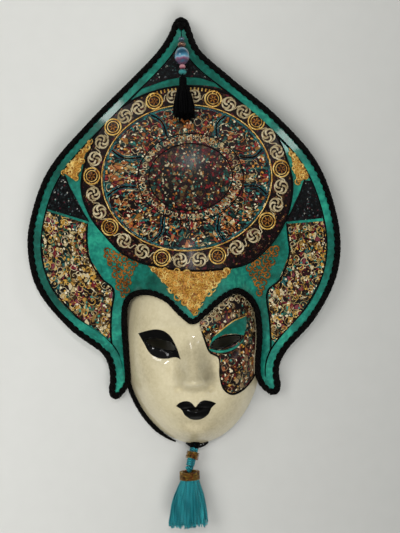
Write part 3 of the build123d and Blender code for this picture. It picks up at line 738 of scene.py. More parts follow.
def glass(name, settings):  # pressed or lampwork glass: colour swirls under a clear skin
    material, add = newMaterial(name)
    spots = (add("TexCoord"), "Object")
    place = add("Mapping", {"Rotation": (0.35, 0, 0)}, {"Vector": spots})
    bands = {"Scale": waveScale(settings["band"]), "Distortion": settings["swirl"], "Detail": 3.0,
             "Detail Scale": 1.5, "bands_direction": "Z"}
    swirl = add("TexWave", bands, {"Vector": place})
    clouds = add("TexNoise", {"Scale": 1000 / 4}, {"Vector": spots})
    paint = blend(add, swirl, clouds, 0.25, settings["ramp"])
    skin = {"Roughness": 0.12, "Coat Weight": 1.0, "Coat Roughness": 0.03, "Metallic": settings["metal"]}
    shader = add("BsdfPrincipled", skin, {"Base Color": paint})
    return closeMaterial(material, shader)


# Lampwork glass, blue swirled with mauve: a clear wet skin with sharp glints
lampworkGlass = glass("lampworkGlassBlueMauve", {
    "band": 9, "swirl": 3.0, "metal": 0.0,
    "ramp": [(0.1, "#143E54"), (0.35, "#4A86A2"), (0.5, "#76A4B8"), (0.66, "#86607A"), (0.82, "#5E3C54"),
             (0.95, "#1E5468")],
})
# Foiled glass, bronze: leaf under the skin, half metallic
bronzeGlass = glass("foiledGlassBronze", {
    "band": 5, "swirl": 4.0, "metal": 0.5,
    "ramp": [(0.15, "#241A18"), (0.45, "#6A4C38"), (0.7, "#A07660"), (0.9, "#3A2A2C")],
})
# Pressed glass, old rose: milky, glossy
roseGlass = glass("pressedGlassRose", {
    "band": 4, "swirl": 3.0, "metal": 0.1,
    "ramp": [(0.2, "#4E2430"), (0.5, "#8E5260"), (0.85, "#B88086")],
})
# Pressed glass, sea green: deep and glossy
seaGlass = glass("pressedGlassSea", {
    "band": 4, "swirl": 3.0, "metal": 0.1,
    "ramp": [(0.2, "#082A2C"), (0.5, "#155658"), (0.85, "#3A8A88")],
})
# Pressed glass, smoke: nearly black, blue where light falls in
smokeGlass = glass("pressedGlassSmoke", {
    "band": 4, "swirl": 3.0, "metal": 0.2,
    "ramp": [(0.2, "#0C1014"), (0.5, "#20323E"), (0.85, "#466070")],
})


# Metal-lined seed beads: each bead another bronze, gold or red-brown
def seedBeadMaterial():
    material, add = newMaterial("metalLinedSeedBead")
    spots = (add("TexCoord"), "Object")
    cells = add("TexVoronoi", {"Scale": 1000 / 1.9}, {"Vector": spots})
    tone = add("SeparateColor", {}, {"Color": (cells, "Color")})
    metals = [(0.1, "#4A2C14"), (0.3, "#8A6A2A"), (0.5, "#B08A38"), (0.65, "#6B5420"), (0.8, "#8A3A20"),
              (0.95, "#C8A850")]
    paint = add("ValToRGB", {"ramp": metals}, {"Fac": (tone, "Red")})
    shader = add("BsdfPrincipled", {"Metallic": 0.6, "Roughness": 0.28, "Coat Weight": 0.5},
                 {"Base Color": paint})
    return closeMaterial(material, shader)


seedBead = seedBeadMaterial()


def dress(piece, material, body, slot, *replaced):
    piece.data.materials.clear()
    piece.data.materials.append(material)
    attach(piece, body)
    if replaced:
        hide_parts(*replaced)
    return piece


# Raised lines on a mould
def paintedLine(name, runs, depthAt, rise, thickness, material, slot, *replaced, **form):
    laid = [onSurface(run, depthAt, rise) for run in runs]
    return dress(strandPiece(name, laid, thickness, **{"sides": 2} | form), material, "mask", slot, *replaced)


def ornament(name, model, places, depthAt, rise, material):  # copies of a model on a mould
    return dress(drape(spread(name, model, places), depthAt, rise), material, "mask", "gold_paste")


# Camera, square to the wall, rolled a little
camera = {"place": (0.010, -1.100, -0.2594), "lens": 70.76, "sensor": 36, "roll": -2.2}
cameraData = bpy.data.cameras.new("camera")
cameraData.lens = camera["lens"]
cameraData.sensor_width = camera["sensor"]
cameraPiece = newPiece("camera", cameraData)
cameraPiece.location = camera["place"]
level = Matrix.Rotation(math.pi / 2, 3, "X")
cameraPiece.rotation_euler = (level @ Matrix.Rotation(math.radians(camera["roll"]), 3, "Z")).to_euler()
bpy.context.scene.camera = cameraPiece

# Hanging loop: waxed cord, both ends glued in the patch behind the peak
loop = {"diameter": 2.0, "halfWidth": 3.5, "depth": 3.3, "notch": 15.0,
        "patchTop": -30.0, "patchHeight": 12.0, "patchThick": 4.5, "shell": 2.5, "gap": 0.1}
patchMiddle = -crownDepth(0.0, loop["patchTop"]) + loop["shell"] + loop["gap"] + loop["patchThick"] / 2
halfLoop = [
    (loop["halfWidth"], patchMiddle, loop["patchTop"] - loop["patchHeight"] / 2),
    (loop["halfWidth"], patchMiddle, loop["patchTop"] + loop["diameter"]),
    (loop["halfWidth"], -loop["depth"], -loop["notch"]),
    (loop["halfWidth"], -loop["depth"], loop["diameter"] / 2),
]
loopRoute = halfLoop + [(-x, y, z) for x, y, z in reversed(halfLoop)]
loopCord = curvePiece("loopCord", [np.array(loopRoute) / 1000], loop["diameter"], sides=3, steps=12)
dress(loopCord, blackBraid, "mask", "black_cord", "hang_loop")

# Pendant thread: it hangs from its eye through the beads to a stop knot
pendant = {"pivot": Vector((0, -24.521, -18.0)), "tilt": 22.6, "thread": 1.2, "first": 1.9, "last": 51.9,
           "headTop": 53.2, "tasselTop": 64.3}
tilt = math.radians(pendant["tilt"])
stringDown = Vector((0, -math.sin(tilt), -math.cos(tilt)))
stringFront = Vector((0, -math.cos(tilt), math.sin(tilt)))
sideways = Vector((1, 0, 0))
stringAxes = (stringDown, sideways, stringFront)
plumbAxes = (Vector((0, 0, -1)), sideways, Vector((0, 1, 0)))


def alongString(drop):
    return pendant["pivot"] + stringDown * drop


threadRun = np.array([alongString(drop) for drop in (pendant["first"], 18, 35, pendant["last"])]) / 1000
pendantThread = curvePiece("pendantThread", [threadRun], pendant["thread"], sides=3, steps=12)
dress(pendantThread, blackThread, "pendant_string", "black_thread", "pendant_cord")
print("camera and cords done")


# Braids: two sets of strands turning opposite ways round a core, over and under
def plait(name, flatLine, depthAt, settings, node):
    run = onSurface(flatLine, depthAt, settings["centre"])
    along = np.gradient(run, axis=0)
    along /= np.linalg.norm(along, axis=1)[:, None]
    across = np.cross(along, np.tile((0.0, -1.0, 0.0), (len(run), 1)))
    across /= np.linalg.norm(across, axis=1)[:, None]
    lift = np.cross(across, along)
    length = np.r_[0, np.cumsum(np.linalg.norm(np.diff(run, axis=0), axis=1))] * 1000
    pairs = settings["pairs"]
    swing = 2 * math.pi * length / settings["pitch"]
    wave = 0.25 * settings["strand"] * np.cos(pairs * swing)
    taper = np.interp(np.linspace(0, 1, len(run)), *settings["taper"])
    strands = []
    for hand in (1, -1):
        for k in range(pairs):
            angle = hand * swing + 2 * math.pi * k / pairs
            wide = settings["halfWidth"] - settings["strand"] + hand * wave
            deep = settings["halfDepth"] - settings["strand"] + hand * wave
            side = across * (np.cos(angle) * wide * taper)[:, None]
            side = side + lift * (np.sin(angle) * deep * taper)[:, None]
            strands.append(run + side / 1000)
    woven = strandPiece(name, strands, 2 * settings["strand"], widths=settings["taper"])
    core = strandPiece(name + "Core", [run[::3]], 2 * settings["core"], widths=settings["taper"], sides=3)
    return dress(joined(name, [woven, core]), blackBraid, "mask", "black_braid", node)


def backPlane(x, z):
    return 0 * x


edgeBraid = {"halfWidth": 3.75, "halfDepth": 4.5, "centre": -1.5, "strand": 1.15, "pairs": 5, "pitch": 36.0,
             "core": 3.1, "taper": ([0, 1], [1, 1])}  # taper: widths along its length
rimRun = smoothRun(rimPoints, 1.3)
plait("edgeBraidWoven", rimRun, crownDepth, edgeBraid, "edge_braid")
browBraid = {"halfWidth": 3.25, "halfDepth": 4.6, "centre": -1.6, "strand": 1.0, "pairs": 5, "pitch": 32.0,
             "core": 2.75, "taper": ([0, 1], [1, 1])}
browRun = smoothRun(browPoints, 1.2)
plait("browBraidWoven", browRun, crownDepth, browBraid, "brow_braid")
jawBraid = {"halfWidth": 2.5, "halfDepth": 3.0, "centre": 3.0, "strand": 0.8, "pairs": 4, "pitch": 22.0,
            "core": 2.0, "taper": ([0, 0.7, 1], [1, 1, 0.35]), "offset": 2.7, "from": 197.0, "to": 252.6}
angles = np.radians(np.linspace(jawBraid["from"], jawBraid["to"], 80))
jawRun = np.column_stack([
    (face["halfWidth"] + jawBraid["offset"]) * np.cos(angles),
    face["centreZ"] + (face["jaw"] + jawBraid["offset"]) * np.sin(angles),
])
plait("jawBraidWoven", jawRun, backPlane, jawBraid, "jaw_braid")
print("braids done")

# CAD layers that keep their shape
finishes = {
    "headpiece_shell": tealLacquer, "rim_ridge": tealLacquer, "medallion_disc": medallionPaper,
    "wing_paper_right": wingPaper, "wing_paper_left": wingPaper, "eye_paper": facePaper,
    "corner_panel_right": glitterPaper, "corner_panel_left": glitterPaper, "peak_panel": glitterPaper,
    "upper_gilding_right": wornPaste, "upper_gilding_left": wornPaste, "brow_gilding": wornPaste,
    "loop_patch": blackBraid, "lampwork_bead": lampworkGlass, "bronze_bead": bronzeGlass,
    "pink_bead": roseGlass, "teal_bead": seaGlass, "top_bead": smokeGlass,
}
for name, material in finishes.items():
    nodes[name].data.materials.clear()
    nodes[name].data.materials.append(material)

# Lacquered face: a fine shell on the same mould, with lips and nostril wings worked in
faceShell = {"segments": 256, "rings": 240, "wall": 2.5, "front": 120, "back": 10}


def fineFaceDepth(x, z):
    side = np.abs(x)
    drop = z - face["centreZ"]
    depth = faceDepth(x, z)
    depth -= 3.4 * bell(side - 21, 7) * bell(drop + 26, 15)  # hollows beside the nose
    depth -= 5.5 * bell(side - 15.5, 4.5) * bell(drop + 40, 5.5)  # its underside rises to the wings
    depth += 2.4 * bell(side - 10.5, 3.6) * bell(drop + 33, 6)  # wings of the nose
    # Upper lip, and the groove above it
    depth += 1.6 * bell(side - 6, 8) * bell(drop + 57.5, 3.2) - 1.0 * bell(side, 2.6) * bell(drop + 51, 6)
    depth -= 1.8 * bell(side, 17) * bell(drop + 62.5, 1.5)  # line of the mouth
    depth += 2.4 * bell(side, 11) * bell(drop + 68, 4.2)  # lower lip
    return depth


def pressedFace(spots):
    x = spots[:, 0] * face["halfWidth"]
    z = face["centreZ"] + spots[:, 2] * np.where(spots[:, 2] > 0, face["forehead"], face["jaw"])
    return np.column_stack([x, -fineFaceDepth(x, z), z]) / 1000


facePiece = added(bpy.ops.mesh.primitive_uv_sphere_add, segments=faceShell["segments"],
                  ring_count=faceShell["rings"], radius=1, rotation=(math.pi / 2, 0, 0))
facePiece.name = "lacqueredFace"
editMesh(facePiece, bpy.ops.mesh.bisect, plane_co=(0, 0, 0), plane_no=(0, 1, 0), clear_outer=True)
reshape(facePiece, pressedFace)
wall = facePiece.modifiers.new("wall", "SOLIDIFY")
wall.thickness = faceShell["wall"] / 1000
wall.offset = -1
applyModifiers(facePiece)
for outline in (eyeRight, eyeLeft):
    cut(facePiece, outlinePrism("eyeCutter", outline, faceShell["front"], faceShell["back"]))
smooth(facePiece, 50)
dress(facePiece, ivoryLacquer, "mask", "ivory_lacquer", "face_shell")
print("face done:", len(facePiece.data.polygons), "faces")

# Painted lips and eyes, laid on the face
lipOutline = onFace([
    (-27.2, -57.0), (-21.3, -53.5), (-8.4, -52.6), (0.1, -58.4), (9.2, -52.5), (20.5, -53.0), (29.2, -55.8),
    (22.5, -60.1), (16.6, -66.9), (0.2, -71.5), (-14.0, -67.1), (-20.1, -60.5),
])
lips = patch("paintedLips", lipOutline, 0.45, fineFaceDepth, -0.05, rounding=0.15, corners=(0, 3, 6))
dress(lips, blackEnamel, "mask", "black_braid")
eyeOutline = onFace([
    (-77.0, 14.6), (-62.0, 17.4), (-49.2, 18.3), (-36.1, 14.8), (-25.9, 4.5), (-17.9, -11.2), (-24.0, -9.4),
    (-37.0, -10.4), (-50.7, -9.3), (-61.7, -4.4), (-68.8, 4.4),
])
eyePaint = patch("paintedEye", eyeOutline, 0.4, fineFaceDepth, -0.05, holes=[eyeLeft], corners=(0, 5))
dress(eyePaint, blackEnamel, "mask", "black_braid")
for name, outline, rise in (("lidLeft", eyeLeft, 0.2), ("lidRight", eyeRight, 0.4)):
    paintedLine(name, [smoothRing(outline, 1.5)], fineFaceDepth, rise, 1.7, blackEnamel, "black_braid",
                closed=True)
tealWedge = onFace([
    (21.8, -2.2), (29.6, 9.6), (43.3, 17.1), (58.7, 23.9), (76.9, 27.8), (76.4, 18.9), (72.0, 8.9),
    (58.0, 11.0), (39.0, 9.4), (27.4, 4.2),
])


def paperDepth(x, z):  # the top of the eye paper
    return fineFaceDepth(x, z) + 1.0


wedge = patch("tealBrowShade", tealWedge, 0.5, paperDepth, 0.0, corners=(0, 4, 6))
dress(wedge, tealLacquer, "mask", "teal_lacquer")
paintedLine("goldBrowLine", [smoothRun(tealWedge[1:5], 1.5)], paperDepth, 0.3, 1.3, goldPaste, "gold_paste",
            widths=([0, 0.15, 0.85, 1], [0.2, 1, 1, 0.3]))
lowerLid = onFace([(21.6, -2.6), (32.5, -5.4), (47.6, -5.2), (61.1, -1.4), (70.5, 4.0)])
paintedLine("lowerLidTeal", [smoothRun(lowerLid, 1.5)], fineFaceDepth, 0.8, 3.0, tealLacquer, "teal_lacquer",
            widths=([0, 0.15, 0.8, 1], [0.3, 1, 0.8, 0.2]), sides=3)
eyePaperEdge = onFace([
    (10.5, 21.0), (16.4, 7.5), (23.2, -5.4), (35.0, -10.7), (36.7, -15.5), (36.5, -29.9), (40.8, -42.0),
    (52.0, -47.9), (66.6, -45.3), (82.1, -36.0), (92.5, -24.0),
])
paintedLine("eyePaperInkLine", [smoothRun(eyePaperEdge, 1.5)], fineFaceDepth, 0.75, 2.0, blackInk,
            "black_braid", widths=([0, 0.1, 0.9, 1], [0.5, 1, 1, 0.5]))
print("paint on the face done")


# Medallion: scroll ring, roundels, inner lines
def onEllipse(halfWidth, halfHeight, angle, centre=(0.0, medallion["z"])):  # angle from the top, clockwise
    turn = math.radians(angle)
    return centre[0] + halfWidth * math.sin(turn), centre[1] + halfHeight * math.cos(turn)


def ellipseRun(halfWidth, halfHeight, centre=(0.0, medallion["z"]), count=120):
    turns = np.linspace(0, 360, count, endpoint=False)
    return np.array([onEllipse(halfWidth, halfHeight, angle, centre) for angle in turns])


ring = {"halfWidth": 96.3, "halfHeight": 83.3, "angles": [18, 49, 86, 124, 163, 197, 236, 274, 311, 342, 378],
        "whorls": {0.33: 1, 0.67: -1}, "whorlSize": 1.12, "tendrils": (0.175, 0.5, 0.825), "tendrilSize": 0.8}
gaps = list(zip(ring["angles"], ring["angles"][1:]))


def onRing(angle, size=1.0, hand=1):
    return (*onEllipse(ring["halfWidth"], ring["halfHeight"], angle), angle, size, hand)


blade = {"polar": [(6.4, -10), (6.5, 25), (6.0, 62), (4.6, 96), (2.7, 122), (1.2, 140)],
         "thick": 2.3, "count": 4}
bladeRuns = []
for turn in range(0, 360, 360 // blade["count"]):
    polar = [(radius, math.radians(angle + turn)) for radius, angle in blade["polar"]]
    bladeRuns.append(flatRun((radius * math.cos(a), radius * math.sin(a)) for radius, a in polar))
whorl = strandPiece("whorl", bladeRuns, blade["thick"], widths=([0, 0.3, 0.7, 1], [0.35, 0.8, 1.0, 0.8]),
                    sides=2, steps=3)
tendrilRun = flatRun([(-4.6, -2.8), (-3.0, -4.4), (-0.6, -2.6), (0.6, 2.6), (3.0, 4.4), (4.6, 2.8)])
tendril = strandPiece("tendril", [tendrilRun], 1.7, widths=([0, 0.3, 0.7, 1], [0.9, 0.8, 0.8, 0.9]),
                      sides=2, steps=3)
tendrilPlaces = [onRing(a + (b - a) * part, ring["tendrilSize"])
                 for a, b in gaps for part in ring["tendrils"]]
whorlPlaces = [onRing(a + (b - a) * part, ring["whorlSize"], hand)
               for a, b in gaps for part, hand in ring["whorls"].items()]
roundelPlaces = [onRing(a) for a, b in gaps]
ornament("creamTendrils", tendril, tendrilPlaces, crownDepth, 0.9, creamPaste)
ornament("creamWhorls", whorl, whorlPlaces, crownDepth, 1.0, creamPaste)

hoops = [{"major_radius": 0.0082, "minor_radius": 0.0008, "major_segments": 36, "minor_segments": 8},
         {"major_radius": 0.0056, "minor_radius": 0.0005, "major_segments": 30, "minor_segments": 6}]
roundel = joined("roundel", [added(bpy.ops.mesh.primitive_torus_add, **hoop, rotation=(math.pi / 2, 0, 0))
                             for hoop in hoops])
ornament("roundelHoops", smooth(roundel, 60), roundelPlaces, crownDepth, 1.1, goldPaste)
petalRuns = []
for turn in range(0, 360, 60):
    c, s = math.cos(math.radians(turn)), math.sin(math.radians(turn))
    petalRuns.append(flatRun((x * c - z * s, x * s + z * c) for x, z in ((1.0, 0), (2.4, 0.4), (4.2, 0))))
petal = strandPiece("petal", petalRuns, 2.2, widths=([0, 0.5, 1], [0.4, 1, 0.35]), sides=2, steps=2)
ornament("roundelPetals", petal, roundelPlaces, crownDepth, 0.9, copperPaste)

dashes = {"count": 19, "reach": 19.0, "length": 3.6, "halfWidth": 103.3, "halfHeight": 90.7, "size": 0.92}
dashRun = flatRun((0, dashes["length"] * part) for part in (-0.5, 0, 0.5))
dash = strandPiece("dash", [dashRun], 1.9, widths=([0, 0.5, 1], [0.7, 1, 0.7]), sides=2, steps=2)
dashPlaces = [(*onEllipse(dashes["halfWidth"], dashes["halfHeight"], angle), angle, dashes["size"], 1)
              for angle in np.linspace(-dashes["reach"], dashes["reach"], dashes["count"])]
ornament("goldDashes", dash, dashPlaces, crownDepth, 1.0, goldPaste)

oval = {"centre": (4, -169.5), "outer": (53, 44), "inner": (42, 33.5), "commas": (47.5, 38.7), "count": 36}
paintedLine("medallionEdgeLine", [smoothRing(medallionPoints, 2.5)], crownDepth, 0.8, 2.4, blackInk,
            "black_braid", closed=True)
paintedLine("medallionInnerLine", [ellipseRun(86, 73.8)], crownDepth, 0.9, 1.1, goldPaste, "gold_paste",
            closed=True)
ovalRuns = [ellipseRun(*oval[side], oval["centre"]) for side in ("outer", "inner")]
paintedLine("medallionOvalLines", ovalRuns, crownDepth, 0.9, 1.1, blackInk, "black_braid", closed=True)

# Painted divisions between the inner line and the oval, each dark with a sea-green edge
divisions = {"angles": [-148, -100, -62, -24, 30, 66, 104, 150], "inner": (55, 46), "outer": (85, 73),
             "fan": 1.03, "bow": 5.0, "aside": 1.7}
darkRuns, edgeRuns = [], []
for number, angle in enumerate(divisions["angles"]):
    start = np.array(onEllipse(*divisions["inner"], angle, oval["centre"]))
    end = np.array(onEllipse(*divisions["outer"], angle * divisions["fan"]))
    aside = np.array([start[1] - end[1], end[0] - start[0]]) / np.linalg.norm(end - start)
    bend = (start + end) / 2 + aside * divisions["bow"] * (-1) ** number
    darkRuns.append(smoothRun([start, bend, end], 2.0))
    edgeRuns += [offsetRun(darkRuns[-1], hand * divisions["aside"]) for hand in (-1, 1)]
paintedLine("fieldDivisions", darkRuns, crownDepth, 0.75, 1.5, blackInk, "black_braid")
paintedLine("fieldDivisionEdges", edgeRuns, crownDepth, 0.7, 1.5, tealWash, "teal_lacquer")
paintedLine("medallionWashLine", [ellipseRun(83.6, 71.6)], crownDepth, 0.7, 2.0, tealWash, "teal_lacquer",
            closed=True)

# Ink lines: inside the ridge, and along the inner edges of the papers and the corner panels
inkLines = {"thick": 2.0, "rise": 0.35, "ridge": 10.9, "slack": 0.4, "clear": 6.5, "shortest": 5}
inkRuns = [smoothRun(onCrown(points), 2.0) for points in (
    [(62.4, 55.6), (63.3, 59.5), (63.8, 63.7), (57.2, 70.3), (49.2, 73.2), (49.9, 80.8), (50.2, 86.1),
     (49.6, 91.0)],
    [(-64.0, 53.6), (-65.3, 57.3), (-64.2, 63.0), (-56.5, 68.5), (-50.0, 71.1), (-52.0, 77.1), (-53.0, 83.7),
     (-51.4, 90.6)],
    [(75.6, 44.2), (69.5, 50.2), (61.8, 55.4)],
    [(-78.4, 40.6), (-71.5, 48.0), (-63.3, 53.4)],
)]
kept = []
for spot in offsetRun(rimRun, inkLines["ridge"]):  # the stretches that keep their distance from both braids
    toRim = np.linalg.norm(rimRun - spot, axis=1).min()
    toBrow = np.linalg.norm(browRun - spot, axis=1).min()
    if toRim > inkLines["ridge"] - inkLines["slack"] and toBrow > inkLines["clear"]:
        kept.append(spot)
        continue
    if len(kept) > inkLines["shortest"]:
        inkRuns.append(np.array(kept))
    kept = []
print("ink lines:", len(inkRuns), "runs")
paintedLine("inkLines", inkRuns, crownDepth, inkLines["rise"], inkLines["thick"], blackInk, "black_braid",
            widths=([0, 0.05, 0.95, 1], [0.3, 1, 1, 0.3]))

# Small comma, for the oval, the gilding and the papers
commaRun = flatRun([
    (3.2, -1.2), (3.4, 1.2), (1.6, 3.1), (-0.9, 2.9), (-2.3, 1.0), (-1.8, -1.0), (-0.2, -1.5), (0.8, -0.4),
    (0.1, 0.3),
])


def commaModel(thick):
    widths = ([0, 0.3, 0.75, 1], [0.35, 0.95, 1.0, 0.6])
    return strandPiece("comma", [commaRun], thick, widths=widths, steps=2)


commaPlaces = [(*onEllipse(*oval["commas"], angle, oval["centre"]), angle, 0.95, 1)
               for angle in np.linspace(0, 360, oval["count"], endpoint=False)]
ornament("ovalCommas", commaModel(1.2), commaPlaces, crownDepth, 0.9, creamPaste)


def curlsOn(name, node, material, settings):
    dice = random.Random(settings["seed"])
    places = [(x, z, dice.uniform(0, 360), dice.uniform(*settings["sizes"]), dice.choice((1, -1)))
              for x, z in scatter(node, settings["gap"], settings["margin"], settings["seed"])]
    return ornament(name, commaModel(settings["thick"]), places, crownDepth, settings["rise"], material)


upperCurls = {"gap": 4.3, "margin": 0.4, "sizes": (0.85, 1.25), "thick": 1.9, "rise": 1.5}
lowerCurls = {"gap": 4.5, "margin": 1.2, "sizes": (0.8, 1.2), "thick": 2.0, "rise": 0.8}
creamCurls = {"gap": 12.0, "margin": 3.0, "sizes": (0.6, 1.2), "thick": 0.9, "rise": 0.7}
goldCurls = {"gap": 13.0, "margin": 3.0, "sizes": (0.7, 1.3), "thick": 1.1, "rise": 0.7}
browCurls = {"gap": 4.3, "margin": 0.7, "sizes": (0.85, 1.3), "thick": 1.9, "rise": 1.6}
for side, seed in (("Right", 3), ("Left", 4)):
    hand = side.lower()
    curlsOn("upperGildingCurls" + side, "upper_gilding_" + hand, goldPaste, upperCurls | {"seed": seed})
    lower = curlsOn("lowerGildingCurls" + side, "lower_gilding_" + hand, copperPaste,
                    lowerCurls | {"seed": seed + 2})
    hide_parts("lower_gilding_" + hand)
    curlsOn("wingCurls" + side, "wing_paper_" + hand, creamPaste, creamCurls | {"seed": seed + 4})
    curlsOn("wingGoldCurls" + side, "wing_paper_" + hand, goldPaste, goldCurls | {"seed": seed + 6})
curlsOn("browGildingCurls", "brow_gilding", goldPaste, browCurls | {"seed": 9})
scrollBand = onFace([(14.5, 17.5), (27.0, 30.6), (46.6, 41.0), (63.9, 45.0), (79.0, 40.0), (86.0, 29.0)])
scrollPlaces = [(x, z, 40 * number, 1.15, (-1) ** number)
                for number, (x, z) in enumerate(smoothRun(scrollBand, 6.2))]
ornament("browScrolls", commaModel(1.4), scrollPlaces, paperDepth, 0.4, creamPaste)

# Black crescent under the chin, cast in paste and enamelled
crescent = [(-11.6, -442.6), (-6.0, -445.2), (0.0, -446.2), (6.0, -445.2), (11.6, -442.6)]
paintedLine("chinCrescent", [smoothRun(crescent, 1.0)], backPlane, 6.0, 5.4, blackEnamel, "black_braid",
            "chin_band", widths=([0, 0.2, 0.5, 0.8, 1], [0.45, 0.85, 1, 0.85, 0.45]), sides=4)
print("ornament done")


# Tassels: threads in layers that follow the skirt's form; axes are down, sideways and to the front
def skirt(name, top, axes, settings):
    down, sideA, sideB = axes
    dice = np.random.default_rng(settings["seed"])
    share = np.linspace(0, 1, 9)
    spreadAt = np.interp(share, [0, 0.35, 0.7, 1], [0, 0.62, 0.9, 1])
    runs = []
    for _ in range(settings["strands"]):
        angle = dice.uniform(0, 2 * math.pi)
        radius = math.sqrt(dice.uniform(settings["inner"] ** 2, 1))
        reach = settings["height"] * dice.uniform(*settings["lengths"])
        wide = (settings["top"] + spreadAt * (settings["width"] - settings["top"])) / 2 * radius
        deep = (settings["top"] + spreadAt * (settings["depth"] - settings["top"])) / 2 * radius
        phase, wander = dice.uniform(0, 6.28, 2), dice.uniform(-1, 1, 2) * settings["wander"]
        a = wide * math.cos(angle) + share * wander[0] * np.sin(share * 5 + phase[0])
        a = a + share * settings["lean"]
        b = deep * math.sin(angle) + share * wander[1] * np.sin(share * 5 + phase[1])
        run = np.array(top)[None] + np.outer(share * reach, down) + np.outer(a, sideA) + np.outer(b, sideB)
        runs.append(run / 1000)
    return strandPiece(name, runs, settings["thread"], steps=2)


def windings(name, top, axes, settings):  # thread wound round a core
    down, sideA, sideB = axes
    turns = settings["height"] / settings["pitch"]
    radius = settings["radius"]
    angle = np.linspace(0, turns * 2 * math.pi, int(turns * 14))
    run = np.array(top)[None] + np.outer(angle / (2 * math.pi) * settings["pitch"], down)
    run = run + np.outer(radius * np.cos(angle), sideA) + np.outer(radius * np.sin(angle), sideB)
    return strandPiece(name, [run / 1000], settings["thread"])


pendantSkirt = {"seed": 5, "strands": 190, "inner": 0.2, "height": 37.0, "lengths": (0.9, 1.0), "top": 8.0,
                "width": 22.0, "depth": 17.0, "thread": 1.0, "wander": 0.9, "lean": 0.0}
pendantThreads = skirt("pendantTasselThreads", alongString(pendant["tasselTop"]), stringAxes, pendantSkirt)
dress(pendantThreads, blackThread, "pendant_tassel", "black_thread", "pendant_tassel_skirt")
chinSkirt = {"seed": 6, "strands": 430, "inner": 0.25, "height": 48.0, "lengths": (0.86, 1.02), "top": 18.0,
             "width": 39.5, "depth": 24.0, "thread": 1.0, "wander": 2.6, "lean": -4.0}
chinThreads = skirt("chinTasselThreads", (-9, -16, -479.3), plumbAxes, chinSkirt)
dress(chinThreads, tealThread, "chin_tassel", "teal_thread", "chin_tassel_skirt")
dome = {"seed": 8, "strands": 60, "inner": 0.7, "height": 11.0, "lengths": (1.0, 1.0), "top": 3.0,
        "width": 6.6, "depth": 6.6, "thread": 1.0, "wander": 0.1, "lean": 0.0}
headDome = skirt("headDome", alongString(pendant["headTop"]), stringAxes, dome)
headBinding = windings("headBinding", alongString(pendant["headTop"] + 3.0), stringAxes,
                       {"radius": 3.5, "height": 8.0, "pitch": 0.8, "thread": 1.0})
headPiece = joined("pendantTasselBinding", [headBinding, headDome])
dress(headPiece, blackThread, "pendant_tassel", "black_thread", "pendant_tassel_head")

# Stem of the chin tassel
stem = {"top": Vector((-1.2, -9.0, -440.0)), "end": Vector((-9.0, -16.0, -468.0))}
stemDown = (stem["end"] - stem["top"]).normalized()
stemSide = stemDown.cross(Vector((0, 1, 0))).normalized()
stemAxes = (stemDown, stemSide, stemDown.cross(stemSide).normalized())
stemSkirt = {"seed": 10, "strands": 110, "inner": 0.6, "height": 24.4, "lengths": (1.0, 1.0), "top": 8.0,
             "width": 8.0, "depth": 8.0, "thread": 1.1, "wander": 0.2, "lean": 0.0}
stemThreads = skirt("stemThreads", stem["top"] + stemDown * 2.5, stemAxes, stemSkirt)
dress(stemThreads, tealThread, "mask", "teal_thread", "chin_tassel_stem")
stemBinding = windings("stemBindingBlack", stem["top"] + stemDown * 2.0, stemAxes,
                       {"radius": 4.3, "height": 6.0, "pitch": 0.8, "thread": 1.2})
dress(stemBinding, blackThread, "mask", "black_thread")


def beadBand(name, centre, axes, settings):  # rows of beads round a bound core
    down, sideA, sideB = axes
    model = added(bpy.ops.mesh.primitive_torus_add, major_radius=0.00056, minor_radius=0.00042,
                  major_segments=8, minor_segments=5)
    copies = []
    for row in range(settings["rows"]):
        for k in range(settings["count"]):
            angle = 2 * math.pi * (k + 0.5 * (row % 2)) / settings["count"]
            outward = sideA * math.cos(angle) + sideB * math.sin(angle)
            fall = row - (settings["rows"] - 1) / 2
            spot = centre + outward * settings["radius"] + down * settings["pitch"] * fall
            turn = Matrix((outward.cross(down), outward, down)).transposed().to_4x4()
            copies.append(copyOf(model, Matrix.Translation(spot / 1000) @ turn))
    bpy.data.objects.remove(model)
    beads = joined(name, copies)
    inside = {"radius": settings["radius"] - 0.9, "height": settings["core"], "pitch": 0.9, "thread": 1.5}
    core = windings(name + "Core", centre - down * settings["core"] / 2, axes, inside)
    return smooth(joined(name, [beads, core]), 60)


upperBand = beadBand("upperSeedBeads", stem["top"] + stemDown * 16, stemAxes,
                     {"rows": 5, "count": 21, "radius": 5.9, "pitch": 1.5, "core": 6.4})
dress(upperBand, seedBead, "mask", "seed_beads", "upper_bead_band")
lowerBand = beadBand("lowerSeedBeads", Vector((-9, -16, -474.8)), plumbAxes,
                     {"rows": 6, "count": 34, "radius": 9.6, "pitch": 1.45, "core": 7.2})
dress(lowerBand, seedBead, "chin_tassel", "seed_beads", "lower_bead_band")


# Knots
def tiedKnot(name, node, wide, deep, tall):  # a trefoil round the middle of the CAD knot
    low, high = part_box(node)
    middle = (low + high) / 2 * 1000
    turn = np.linspace(0, 2 * math.pi, 48, endpoint=False)
    run = np.column_stack([
        middle.x + wide * (np.sin(turn) + 2 * np.sin(2 * turn)),
        middle.y - deep * np.sin(3 * turn),
        middle.z + tall * (np.cos(turn) - 2 * np.cos(2 * turn)),
    ]) / 1000
    return strandPiece(name, [run], 2.6, closed=True, sides=3, steps=2)


